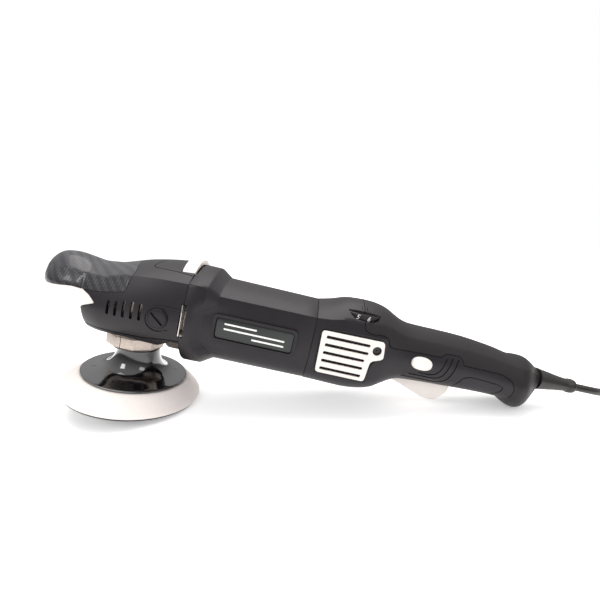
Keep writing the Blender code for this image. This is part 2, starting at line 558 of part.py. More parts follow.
def oval(centre, half_length, half_height, low_y, high_y):
    """A slot-shaped prism with round ends, along Y."""
    outline = []
    straight = half_length - half_height
    for step in range(20):
        angle = 2.0 * math.pi * (step + 0.5) / 20
        shift = straight if math.cos(angle) > 0.0 else -straight
        outline.append((centre[0] + shift + half_height * math.cos(angle),
                        centre[1] + half_height * math.sin(angle)))
    return prism(outline, low_y, high_y)


def make_controls(frame, trigger_axis, lock_axis, dial_axis):
    """Trigger, lock-on button, speed dial and what they act on."""
    pivot_x, pivot_z = TRIGGER_PIVOT
    outline = [(248.8, 69.6), (258.0, 66.2), (271.0, 61.6), (282.0, 58.0), (289.5, 56.4), (295.5, 57.0),
               (300.5, 61.0), (306.5, 68.0), (307.0, 79.6), (249.0, 80.6)]
    trigger = solid("trigger", prism(outline, -9.0, 9.0), trigger_axis, PALE, 0.4)
    bevelled(trigger, 1.2, 2)
    bore = turned([(0.0, -12.0), (1.9, -12.0), (1.9, 12.0), (0.0, 12.0)], "Y",
                  (pivot_x + 3.0, 0.0, pivot_z + 1.0), 16)
    combine(trigger, cutter("trigger_bore", bore, trigger_axis), "DIFFERENCE")
    pin = turned([(0.0, -15.5), (1.5, -15.5), (1.5, 15.5), (0.0, 15.5)], "Y",
                 (pivot_x + 3.0, 0.0, pivot_z + 1.0), 12)
    solid("trigger_pin", pin, frame, STEEL, 0.3, 1.0)
    coil_spring("trigger_spring", frame, (298.0, 0.0, 80.7), 9.2, 4.0, 0.5, 4.0)
    switch = solid("switch_body", block((255.0, -10.0, 90.6), (304.0, 10.0, 112.0)), frame,
                   (0.03, 0.03, 0.03), 0.5)
    bevelled(switch, 1.0)
    button = solid("lock_on_button", oval(LOCK_ON, 9.6, 5.9, -31.2, -16.5), lock_axis, PALE, 0.4)
    bevelled(button, 0.7)
    hub = DIAL_CENTRE[2]
    root = DIAL_RADIUS - 0.5
    wheel = [(3.3, hub - 3.6, 3.3, hub - 3.6), (DIAL_RADIUS, hub - 3.6, root, hub - 3.6),
             (DIAL_RADIUS, hub + 3.6, root, hub + 3.6), (3.3, hub + 3.6, 3.3, hub + 3.6)]
    solid("speed_dial", toothed(wheel, 14, "Z", (DIAL_CENTRE[0], DIAL_CENTRE[1], 0.0)), dial_axis, DARK, 0.45)
    module = solid("speed_module", block((184.0, -22.0, 96.0), (226.0, 22.0, 112.0)), frame,
                   (0.03, 0.05, 0.03), 0.5)
    post = turned([(0.0, 104.0), (3.0, 104.0), (3.0, 126.5), (0.0, 126.5)], "Z",
                  (DIAL_CENTRE[0], DIAL_CENTRE[1], 0.0), 16)
    combine(module, cutter("dial_post", post, frame), "UNION")


def make_cord_exit(frame):
    """The clamp inside the handle and the tapered sleeve outside it."""
    clamp = solid("cord_clamp", block((345.0, -13.0, 91.0), (355.0, 13.0, 106.0)), frame,
                  (0.03, 0.03, 0.03), 0.5)
    bore = turned([(0.0, 340.0), (4.2, 340.0), (4.2, 360.0), (0.0, 360.0)], "X", (0.0, 0.0, CORD_Z), 20)
    combine(clamp, cutter("clamp_bore", bore, frame), "DIFFERENCE")
    sleeve = [(4.1, 368.0), (6.6, 368.0), (6.6, 391.2), (10.8, 391.2), (8.8, 404.0), (6.0, 421.5),
              (6.3, 429.5),
              (5.4, 430.8), (0.0, 430.8), (0.0, 427.0), (4.1, 427.0)]
    solid("strain_relief", turned(sleeve, "X", (0.0, 0.0, CORD_Z), 20), frame, (0.02, 0.018, 0.017), 0.6)


def smooth_route(points, spacing):
    """Points a spacing apart on a smooth curve through the route's own points."""
    route = [Vector(point) for point in points]
    route = [route[0] * 2.0 - route[1], *route, route[-1] * 2.0 - route[-2]]
    fine = []
    for before, start, end, after in zip(route, route[1:], route[2:], route[3:]):
        for step in range(24):
            t = step / 24.0
            bend = 2.0 * before - 5.0 * start + 4.0 * end - after
            fine.append(0.5 * (2.0 * start + (end - before) * t + bend * t ** 2
                               + (3.0 * start - before - 3.0 * end + after) * t ** 3))
    fine.append(route[-2])
    lengths = [0.0]
    for first, second in zip(fine, fine[1:]):
        lengths.append(lengths[-1] + (second - first).length)
    count = max(2, round(lengths[-1] / spacing))
    chosen = []
    index = 0
    for step in range(count + 1):
        target = lengths[-1] * step / count
        while index < len(lengths) - 2 and lengths[index + 1] < target:
            index += 1
        share = (target - lengths[index]) / (lengths[index + 1] - lengths[index])
        chosen.append(fine[index].lerp(fine[index + 1], share))
    return chosen


def cord_run(name, points):
    """A round tube through a route's points, in metres of the resting frame."""
    curve = bpy.data.curves.new(name, "CURVE")
    curve.dimensions = "3D"
    curve.bevel_depth = CORD_RADIUS * MM
    curve.bevel_resolution = 3
    curve.use_fill_caps = True
    places = smooth_route(points, 4.0 * CORD_RADIUS * MM)
    spline = curve.splines.new("POLY")
    spline.points.add(len(places) - 1)
    for point, place in zip(spline.points, places):
        point.co = (*place, 1.0)
    item = bpy.data.objects.new(name, curve)
    bpy.context.collection.objects.link(item)
    item.data.materials.append(finish(name + "_finish", (0.02, 0.018, 0.017), 0.55))
    return item


# The cord's route on the surface the machine stands on, in metres
CORD_ROUTE = (
    (0.25583, 0.0, 0.0204), (0.2701, 0.0008, 0.0173), (0.2846, 0.0050, 0.0133), (0.2986, 0.0135, 0.0091),
    (0.3121, 0.0250, 0.0060), (0.3266, 0.0375, 0.0042), (0.3426, 0.0475, 0.0039), (0.3616, 0.0525, 0.0039),
    (0.3816, 0.0490, 0.0039), (0.3986, 0.0375, 0.0039), (0.4096, 0.0200, 0.0039), (0.4151, 0.0000, 0.0039),
    (0.4156, -0.0180, 0.0039), (0.4153, -0.0305, 0.0039),
)
TAIL_ROUTE = (
    (0.3302, -0.1177, 0.0255), (0.3232, -0.1178, 0.0225), (0.3157, -0.1179, 0.0180),
    (0.3082, -0.1180, 0.0146),
    (0.3007, -0.1180, 0.0132), (0.2893, -0.1180, 0.0130),
)
PLUG_FRONT, PLUG_Y, PLUG_Z = 0.2377, -0.1180, 0.0130


def make_cord():
    """The free cord, its coil and its plug, lying on the surface that the machine stands on."""
    cord_run("cord_tube", CORD_ROUTE)
    world = empty("ground")
    thick = 2.0 * CORD_RADIUS
    inner = COIL_INNER_TURN - CORD_RADIUS
    outer = COIL_INNER_TURN + (COIL_COLUMNS - 1) * thick + CORD_RADIUS
    high = COIL_ROWS * thick + 0.2
    ring = [(inner, 0.2), (outer, 0.2), (outer, high - 3.0), (outer - 3.0, high), (inner + 3.0, high),
            (inner, high - 3.0)]
    centre = (COIL_CENTRE[0] / MM, COIL_CENTRE[1] / MM, 0.0)
    solid("cord_coil", turned(ring, "Z", centre, 32), world, (0.02, 0.018, 0.017), 0.55)
    cord_run("cord_tail", TAIL_ROUTE)
    front, middle, level = PLUG_FRONT / MM, PLUG_Y / MM, PLUG_Z / MM
    body = [(0.0, 0.0), (12.4, 0.0), (12.4, 12.0), (11.2, 26.0), (8.6, 34.0), (6.2, 38.0), (5.4, 51.0),
            (0.0, 51.0)]
    solid("plug_body", turned(body, "X", (front, middle, level), 24), world, (0.02, 0.018, 0.017), 0.5)
    for name, side in (("left", -1.0), ("right", 1.0)):
        pin = [(0.0, -19.3), (1.6, -19.3), (2.4, -18.3), (2.4, -0.3), (0.0, -0.3)]
        shape = turned(pin, "X", (front, middle + side * 7.0, level), 16)
        solid("plug_pin_" + name, shape, world, (0.6, 0.6, 0.6), 0.25, 1.0)


def main():
    """Clears the scene and builds the polisher."""
    for item in list(bpy.data.objects):
        bpy.data.objects.remove(item, do_unlink=True)
    frame = empty("rest_pose")
    frame.location = (REST_X * MM, 0.0, REST_Z * MM)
    frame.rotation_euler = (0.0, REST_TILT, 0.0)
    spindle_axis = empty("spindle_axis", frame)
    plate_axis = empty("plate_axis", frame, (ORBIT, 0.0, 0.0))
    motor_axis = empty("motor_axis", frame, (0.0, 0.0, MOTOR_Z))
    button_axis = empty("button_axis", frame, (46.5, 0.0, 130.0))
    trigger_axis = empty("trigger_axis", frame, (TRIGGER_PIVOT[0] + 3.0, 0.0, TRIGGER_PIVOT[1] + 1.0))
    lock_axis = empty("lock_axis", frame, (LOCK_ON[0], -24.0, LOCK_ON[1]))
    dial_axis = empty("dial_axis", frame, DIAL_CENTRE)
    make_nose_and_head(frame)
    make_spindle_lock(frame, button_axis)
    make_gear_case(frame)
    make_spindle(spindle_axis)
    make_plate(plate_axis)
    make_armature(motor_axis)
    make_motor(frame)
    make_handle(frame)
    make_controls(frame, trigger_axis, lock_axis, dial_axis)
    make_cord_exit(frame)
    make_cord()


main()
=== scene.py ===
"""Looks of the dual action polisher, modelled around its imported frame.

Each piece is drawn at the bench in the machine's own frame, in millimetres: +X runs from the nose to
the handle, +Z along the spindle, and the zero is on the spindle's axis in the plane of the hook face.
settle() then puts it in the resting pose and hangs it on the body that it moves with.
"""

import json
import logging
import math
from dataclasses import dataclass
from enum import Enum, auto
from typing import Iterable, Sequence

import bmesh
import bpy
from mathutils import Matrix, Vector


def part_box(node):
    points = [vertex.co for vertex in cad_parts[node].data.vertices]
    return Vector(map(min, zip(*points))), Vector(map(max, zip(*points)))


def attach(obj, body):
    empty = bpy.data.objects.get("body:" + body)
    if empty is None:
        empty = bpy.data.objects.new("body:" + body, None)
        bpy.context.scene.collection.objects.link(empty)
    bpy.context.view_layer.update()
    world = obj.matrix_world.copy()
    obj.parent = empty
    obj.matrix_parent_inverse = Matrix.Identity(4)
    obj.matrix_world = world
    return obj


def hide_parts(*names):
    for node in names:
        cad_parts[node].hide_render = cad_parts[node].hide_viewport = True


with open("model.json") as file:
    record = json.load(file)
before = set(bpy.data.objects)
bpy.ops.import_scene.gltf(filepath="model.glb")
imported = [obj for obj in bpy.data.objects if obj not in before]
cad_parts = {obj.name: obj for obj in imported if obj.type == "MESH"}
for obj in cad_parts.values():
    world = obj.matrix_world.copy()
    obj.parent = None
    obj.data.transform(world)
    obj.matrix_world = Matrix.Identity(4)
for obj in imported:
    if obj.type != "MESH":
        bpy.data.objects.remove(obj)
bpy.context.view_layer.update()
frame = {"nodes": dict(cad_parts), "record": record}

LOG = logging.getLogger("polisher")

MM = 0.001
REST_TILT = math.radians(12.0)
REST_PLACE = Vector((-0.186344, 0.0, 0.01378))
TO_ROW = Matrix.Translation(REST_PLACE) @ Matrix.Rotation(REST_TILT, 4, "Y") @ Matrix.Scale(MM, 4)
SEAM = 0.4                   # width of a seam between two mouldings, mm
FAR = 90.0                   # past either side of the machine, mm
BELLY = 0.98                 # 1 is a round belly, less is squarer

Point = tuple[float, float]
Station = tuple[float, float, float, float, float, float]


# ---------------------------------------------------------------- the bench

def only(item: bpy.types.Object) -> None:
    """Selects one object alone and makes it the active one."""
    bpy.ops.object.select_all(action="DESELECT")
    item.select_set(True)
    bpy.context.view_layer.objects.active = item


def edit(item: bpy.types.Object) -> bmesh.types.BMesh:
    """Opens one object in edit mode and returns its edit mesh."""
    only(item)
    bpy.ops.object.mode_set(mode="EDIT")
    return bmesh.from_edit_mesh(item.data)


def leave_edit() -> None:
    """Goes back to object mode."""
    bpy.ops.object.mode_set(mode="OBJECT")


def circle_start(name: str, places: Sequence[Vector], fill: str) -> bpy.types.Object:
    """Adds a circle and moves its corners, one by one, to an outline.

    Args:
        name: the object's name.
        places: where each corner goes.
        fill: the circle's fill, NOTHING or NGON.

    Returns:
        The object, open in edit mode with everything selected.
    """
    bpy.ops.object.select_all(action="DESELECT")
    bpy.ops.mesh.primitive_circle_add(vertices=len(places), radius=1.0, fill_type=fill)
    item = bpy.context.object
    item.name = name
    shape = edit(item)
    shape.verts.ensure_lookup_table()
    for vert, place in zip(list(shape.verts), places):
        vert.co = place
    bpy.ops.mesh.select_all(action="SELECT")
    return item


def loft(name: str, rings: Sequence[Sequence[Vector]], open_start: bool = False, open_end: bool = False,
         ring_closed: bool = False) -> bpy.types.Object:
    """Extrudes a ring through a row of rings, each with the same number of points.

    Args:
        name: the object's name.
        rings: the rings, in order along the piece.
        open_start: leaves the first end open.
        open_end: leaves the last end open.
        ring_closed: joins the last ring to the first, for a turned ring with a hole.

    Returns:
        The lofted object, its faces pointing out.
    """
    item = circle_start(name, rings[0], "NOTHING")
    for ring in [*rings[1:], *([rings[0]] if ring_closed else [])]:
        shape = bmesh.from_edit_mesh(item.data)
        spots = {tuple(vert.co): number for number, vert in enumerate(v for v in shape.verts if v.select)}
        bpy.ops.mesh.extrude_region()
        shape = bmesh.from_edit_mesh(item.data)
        for vert in (v for v in shape.verts if v.select):
            vert.co = ring[spots[tuple(vert.co)]]
        bmesh.update_edit_mesh(item.data)
    bpy.ops.mesh.select_all(action="SELECT")
    if ring_closed:
        bpy.ops.mesh.remove_doubles(threshold=0.0005)
    else:
        shape = bmesh.from_edit_mesh(item.data)
        caps = []
        for ring in (rings[0], rings[-1]):
            places = {tuple(Vector(place).to_tuple(3)) for place in ring}
            bpy.ops.mesh.select_all(action="DESELECT")
            for edge in shape.edges:
                if edge.is_boundary and all(v.co.to_tuple(3) in places for v in edge.verts):
                    edge.select_set(True)
            bpy.ops.mesh.edge_face_add()
            caps.append(places)
            shape = bmesh.from_edit_mesh(item.data)
        bpy.ops.mesh.select_all(action="SELECT")
        bpy.ops.mesh.normals_make_consistent(inside=False)
        for places, is_open in zip(caps, (open_start, open_end)):
            if is_open:
                bpy.ops.mesh.select_all(action="DESELECT")
                shape = bmesh.from_edit_mesh(item.data)
                for face in shape.faces:
                    if len(face.verts) == len(rings[0]):
                        face.select_set(all(v.co.to_tuple(3) in places for v in face.verts))
                bpy.ops.mesh.delete(type="ONLY_FACE")
    if ring_closed:
        bpy.ops.mesh.normals_make_consistent(inside=False)
    leave_edit()
    return item


def prism(name: str, outline: Sequence[Point], low: float, high: float, axis: str = "Y") -> bpy.types.Object:
    """Extrudes a flat outline along one axis of the machine's frame.

    Args:
        name: the object's name.
        outline: (x, z) points for axis Y, (x, y) for Z, (y, z) for X.
        low: where the extrusion starts along the axis.
        high: where it ends.
        axis: the axis's letter.

    Returns:
        A closed solid.
    """
    turn = {"X": lambda a, b: (low, a, b), "Y": lambda a, b: (a, low, b), "Z": lambda a, b: (a, b, low)}[axis]
    item = circle_start(name, [Vector(turn(a, b)) for a, b in outline], "NGON")
    push = Vector([high - low if letter == axis else 0.0 for letter in "XYZ"])
    bpy.ops.mesh.extrude_region_move(TRANSFORM_OT_translate={"value": push})
    bpy.ops.mesh.select_all(action="SELECT")
    bpy.ops.mesh.normals_make_consistent(inside=False)
    leave_edit()
    return item


def turned(name: str, profile: Sequence[Point], centre: Sequence[float], axis: str = "Z", segments: int = 96,
           hole: bool = False) -> bpy.types.Object:
    """Turns a profile of (radius, distance along the axis) points about an axis.

    Args:
        name: the object's name.
        profile: the profile's points.
        centre: a point on the axis; the profile's distances are counted from it.
        axis: the axis's letter.
        segments: how many sides the turned piece has.
        hole: True where the profile is a closed loop round a hole.

    Returns:
        A closed solid.
    """
    rings = []
    for radius, along in profile:
        ring = []
        for step in range(segments):
            angle = math.tau * step / segments
            a, b = radius * math.cos(angle), radius * math.sin(angle)
            offset = {"X": (along, a, b), "Y": (a, along, b), "Z": (a, b, along)}[axis]
            ring.append(Vector(centre) + Vector(offset))
        rings.append(ring)
    return loft(name, rings, ring_closed=hole)


def block(name: str, low: Sequence[float], high: Sequence[float]) -> bpy.types.Object:
    """A box between two corners, as a start for a cut or a small bar."""
    return prism(name, [(low[0], low[2]), (high[0], low[2]), (high[0], high[2]), (low[0], high[2])],
                 low[1], high[1])


def apply(item: bpy.types.Object, kind: str, **values: object) -> None:
    """Adds one modifier with the given values and applies it."""
    only(item)
    modifier = item.modifiers.new(kind.lower(), kind)
    for key, value in values.items():
        setattr(modifier, key, value)
    bpy.ops.object.modifier_apply(modifier=modifier.name)


def cut(item: bpy.types.Object, tool: bpy.types.Object, operation: str = "DIFFERENCE") -> None:
    """Applies a Boolean and throws the tool away."""
    apply(item, "BOOLEAN", operation=operation, solver="EXACT", object=tool)
    LOG.info("%s cut by %s: %d", item.name, tool.name, len(item.data.polygons))
    bpy.data.objects.remove(tool, do_unlink=True)


def gather(items: Iterable[bpy.types.Object]) -> bpy.types.Object:
    """Joins several objects into the first of them."""
    items = list(items)
    only(items[0])
    for item in items[1:]:
        item.select_set(True)
    if len(items) > 1:
        bpy.ops.object.join()
    return items[0]


def soften(item: bpy.types.Object, width: float, segments: int = 3, angle: float = 35.0) -> None:
    """Rounds the hard edges of a piece by a width in mm."""
    apply(item, "BEVEL", width=width, segments=segments, limit_method="ANGLE",
          angle_limit=math.radians(angle), use_clamp_overlap=True, harden_normals=False)


def walled(item: bpy.types.Object, thickness: float) -> None:
    """Gives an open shell a wall, inwards."""
    apply(item, "SOLIDIFY", thickness=thickness, offset=-1.0, use_even_offset=False)


def copied(item: bpy.types.Object, name: str) -> bpy.types.Object:
    """A copy of a piece with its own mesh."""
    only(item)
    bpy.ops.object.duplicate(linked=False)
    twin = bpy.context.object
    twin.name = name
    return twin


def mirrored(item: bpy.types.Object, name: str) -> bpy.types.Object:
    """A copy of a piece, mirrored to the machine's other side."""
    twin = copied(item, name)
    bpy.ops.object.mode_set(mode="EDIT")
    bpy.ops.mesh.select_all(action="SELECT")
    bpy.ops.transform.resize(value=(1.0, -1.0, 1.0), center_override=(0.0, 0.0, 0.0))
    bpy.ops.mesh.normals_make_consistent(inside=False)
    leave_edit()
    return twin


def loose_parts(item: bpy.types.Object) -> list[bpy.types.Object]:
    """Separates a mesh into its loose parts."""
    edit(item)
    bpy.ops.mesh.select_all(action="SELECT")
    bpy.ops.mesh.separate(type="LOOSE")
    leave_edit()
    return list(bpy.context.selected_objects)


def nearest(items: Iterable[bpy.types.Object], place: Sequence[float]) -> bpy.types.Object:
    """The object with the corner nearest to a place."""
    target = Vector(place)
    return min(items, key=lambda item: min((v.co - target).length for v in item.data.vertices))


def rounded(points: Sequence[Point], radius: float, steps: int = 5, closed: bool = True) -> list[Point]:
    """Rounds the corners of an outline.

    Args:
        points: the outline's corners.
        radius: the length that each corner takes off its two sides.
        steps: how many pieces each round corner has.
        closed: False for an open line, whose ends stay.

    Returns:
        The outline's new points.
    """
    result: list[Point] = []
    count = len(points)
    for number, here in enumerate(points):
        if not closed and number in (0, count - 1):
            result.append(tuple(here))
            continue
        corner = Vector(here)
        back, ahead = Vector(points[number - 1]) - corner, Vector(points[(number + 1) % count]) - corner
        start = corner + back.normalized() * min(radius, 0.48 * back.length)
        end = corner + ahead.normalized() * min(radius, 0.48 * ahead.length)
        for step in range(steps + 1):
            t = step / steps
            spot = start * (1 - t) ** 2 + corner * 2 * t * (1 - t) + end * t ** 2
            result.append((spot.x, spot.y))
    return result


def ribbon(points: Sequence[Point], width: float) -> list[Point]:
    """The closed outline of a line with a width."""
    left, right = [], []
    spots = [Vector(point) for point in points]
    for number, spot in enumerate(spots):
        before, after = spots[max(number - 1, 0)], spots[min(number + 1, len(spots) - 1)]
        along = (after - before).normalized()
        across = Vector((-along.y, along.x)) * width / 2.0
        left.append(tuple(spot + across))
        right.append(tuple(spot - across))
    return left + right[::-1]


def oval(centre: Point, half_long: float, half_high: float, steps: int = 48,
         power: float = 2.4) -> list[Point]:
    """A full oval with flattened sides."""
    points = []
    for step in range(steps):
        c, s = math.cos(math.tau * step / steps), math.sin(math.tau * step / steps)
        points.append((centre[0] + half_long * math.copysign(abs(c) ** (2 / power), c),
                       centre[1] + half_high * math.copysign(abs(s) ** (2 / power), s)))
    return points


def spline(points: Sequence[Sequence[float]], steps: int) -> list[Vector]:
    """A smooth curve through points of any size, by chord length.

    Args:
        points: the points to pass through.
        steps: how many pieces each interval is cut into.

    Returns:
        The curve's points.
    """
    spots = [Vector(point) for point in points]
    knots = [0.0]
    for first, second in zip(spots, spots[1:]):
        knots.append(knots[-1] + math.sqrt((second - first).length))
    slopes = []
    for number in range(len(spots)):
        low, high = max(number - 1, 0), min(number + 1, len(spots) - 1)
        slopes.append((spots[high] - spots[low]) / (knots[high] - knots[low]))
    curve = []
    for number in range(len(spots) - 1):
        gap = knots[number + 1] - knots[number]
        for step in range(steps):
            t = step / steps
            curve.append(spots[number] * (2 * t ** 3 - 3 * t ** 2 + 1)
                         + slopes[number] * gap * (t ** 3 - 2 * t ** 2 + t)
                         + spots[number + 1] * (3 * t ** 2 - 2 * t ** 3)
                         + slopes[number + 1] * gap * (t ** 3 - t ** 2))
    curve.append(spots[-1])
    return curve


def body_ring(station: Sequence[float], inset: float = 0.0) -> list[Vector]:
    """One cross-section of the machine's body: a roof, a creased side and a round belly.

    Args:
        station: x, top, bottom, half width, and the crease's half width and height.
        inset: how far inside the surface the ring lies, in mm.

    Returns:
        The ring's points, from the ridge down one side and up the other.
    """
    x, top, bottom, half, crease_y, crease_z = station
    top, bottom, half = top - inset, bottom + inset, half - inset
    crease_y, crease_z = crease_y - 0.8 * inset, crease_z - 0.6 * inset
    widest = bottom + 0.56 * (crease_z - bottom)
    roof_steps, side_steps, belly_steps = 14, 16, 26
    side: list[Point] = []
    for step in range(roof_steps):
        t = step / roof_steps
        side.append((crease_y * t, top - (top - crease_z) * t ** 1.75))
    for step in range(side_steps):
        t = step / side_steps
        side.append((crease_y + (half - crease_y) * (1 - (1 - t) ** 1.6), crease_z - (crease_z - widest) * t))
    for step in range(belly_steps + 1):
        angle = 0.5 * math.pi * step / belly_steps
        side.append((half * max(math.cos(angle), 0.0) ** BELLY,
                     widest - (widest - bottom) * math.sin(angle) ** BELLY))
    side[-1] = (0.0, bottom)
    ring = [Vector((x, y, z)) for y, z in side]
    return ring + [Vector((x, -y, z)) for y, z in side[-2:0:-1]]


def body_loft(name: str, stations: Sequence[Station], steps: int, inset: float = 0.0, open_start: bool = True,
              open_end: bool = True) -> bpy.types.Object:
    """Lofts the body's skin through smoothed stations."""
    rings = [body_ring(station, inset) for station in spline_rows(stations, steps)]
    return loft(name, rings, open_start, open_end)


def spline_rows(stations: Sequence[Station], steps: int) -> list[list[float]]:
    """Smooths rows of six numbers by splining them three at a time on one set of knots."""
    knots = [0.0]
    for first, second in zip(stations, stations[1:]):
        knots.append(knots[-1] + math.sqrt(math.dist(first, second)))
    rows = []
    for number in range(len(stations) - 1):
        gap = knots[number + 1] - knots[number]
        for step in range(steps if number < len(stations) - 2 else steps + 1):
            t = step / steps
            row = []
            for column in range(6):
                ends = []
                for place in (number, number + 1):
                    low, high = max(place - 1, 0), min(place + 1, len(stations) - 1)
                    ends.append((stations[high][column] - stations[low][column])
                                / (knots[high] - knots[low]) * gap)
                row.append(stations[number][column] * (2 * t ** 3 - 3 * t ** 2 + 1)
                           + ends[0] * (t ** 3 - 2 * t ** 2 + t)
                           + stations[number + 1][column] * (3 * t ** 2 - 2 * t ** 3)
                           + ends[1] * (t ** 3 - t ** 2))
            rows.append(row)
    return rows


def settle(item: bpy.types.Object, body: str, finish: "Finish", nodes: Sequence[str] = (),
           angle: float = 32.0,
           in_row_frame: bool = False) -> bpy.types.Object:
    """Puts a finished piece in its resting place, dresses it and hangs it on its body.

    Args:
        item: the piece, drawn in the machine's frame.
        body: the body that it moves with.
        finish: what it is made of.
        nodes: the frame's nodes that it stands for.
        angle: the angle over which an edge stays sharp, in degrees.
        in_row_frame: True for a piece that was drawn where it lies.

    Returns:
        The piece.
    """
    only(item)
    if not in_row_frame:
        item.matrix_world = TO_ROW
        bpy.ops.object.transform_apply(location=True, rotation=True, scale=True)
    bpy.ops.object.shade_smooth_by_angle(angle=math.radians(angle))
    item.data.materials.clear()
    item.data.materials.append(finish.material())
    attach(item, body)
    if nodes:
        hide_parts(*nodes)
    LOG.info("%s: %d faces on %s, %s", item.name, len(item.data.polygons), body, finish.name)
    return item


# ---------------------------------------------------------------- the finishes

class Pattern(Enum):
    """What a finish shows close up."""

    GRAIN = auto()           # spark-eroded moulding texture
    PORES = auto()           # open foam
    CAST = auto()            # blasted casting
    BRUSHED = auto()         # turned or drawn metal
    TWILL = auto()           # woven carbon print
    WINDING = auto()         # wire laid in turns
    LOOPS = auto()           # hook-and-loop face
    LACQUER = auto()         # polished lacquer with hairlines


@dataclass(frozen=True)
class Finish:
    """One finish: two colours that vary over the surface, gloss and a relief."""

    name: str
    slot: str
    colour: tuple[float, float, float]
    second: tuple[float, float, float]
    roughness: float
    pattern: Pattern = Pattern.GRAIN
    metallic: float = 0.0
    coat: float = 0.0
    relief: float = 0.12
    scale: float = 1.0
    sheen: float = 0.0
    specular: float = 0.5

    def material(self) -> bpy.types.Material:
        """Builds the material once, and returns it."""
        found = bpy.data.materials.get(self.name)
        if found:
            return found
        material = bpy.data.materials.new(self.name)
        material.use_nodes = True
        Nodes(material, self).build()
        return material


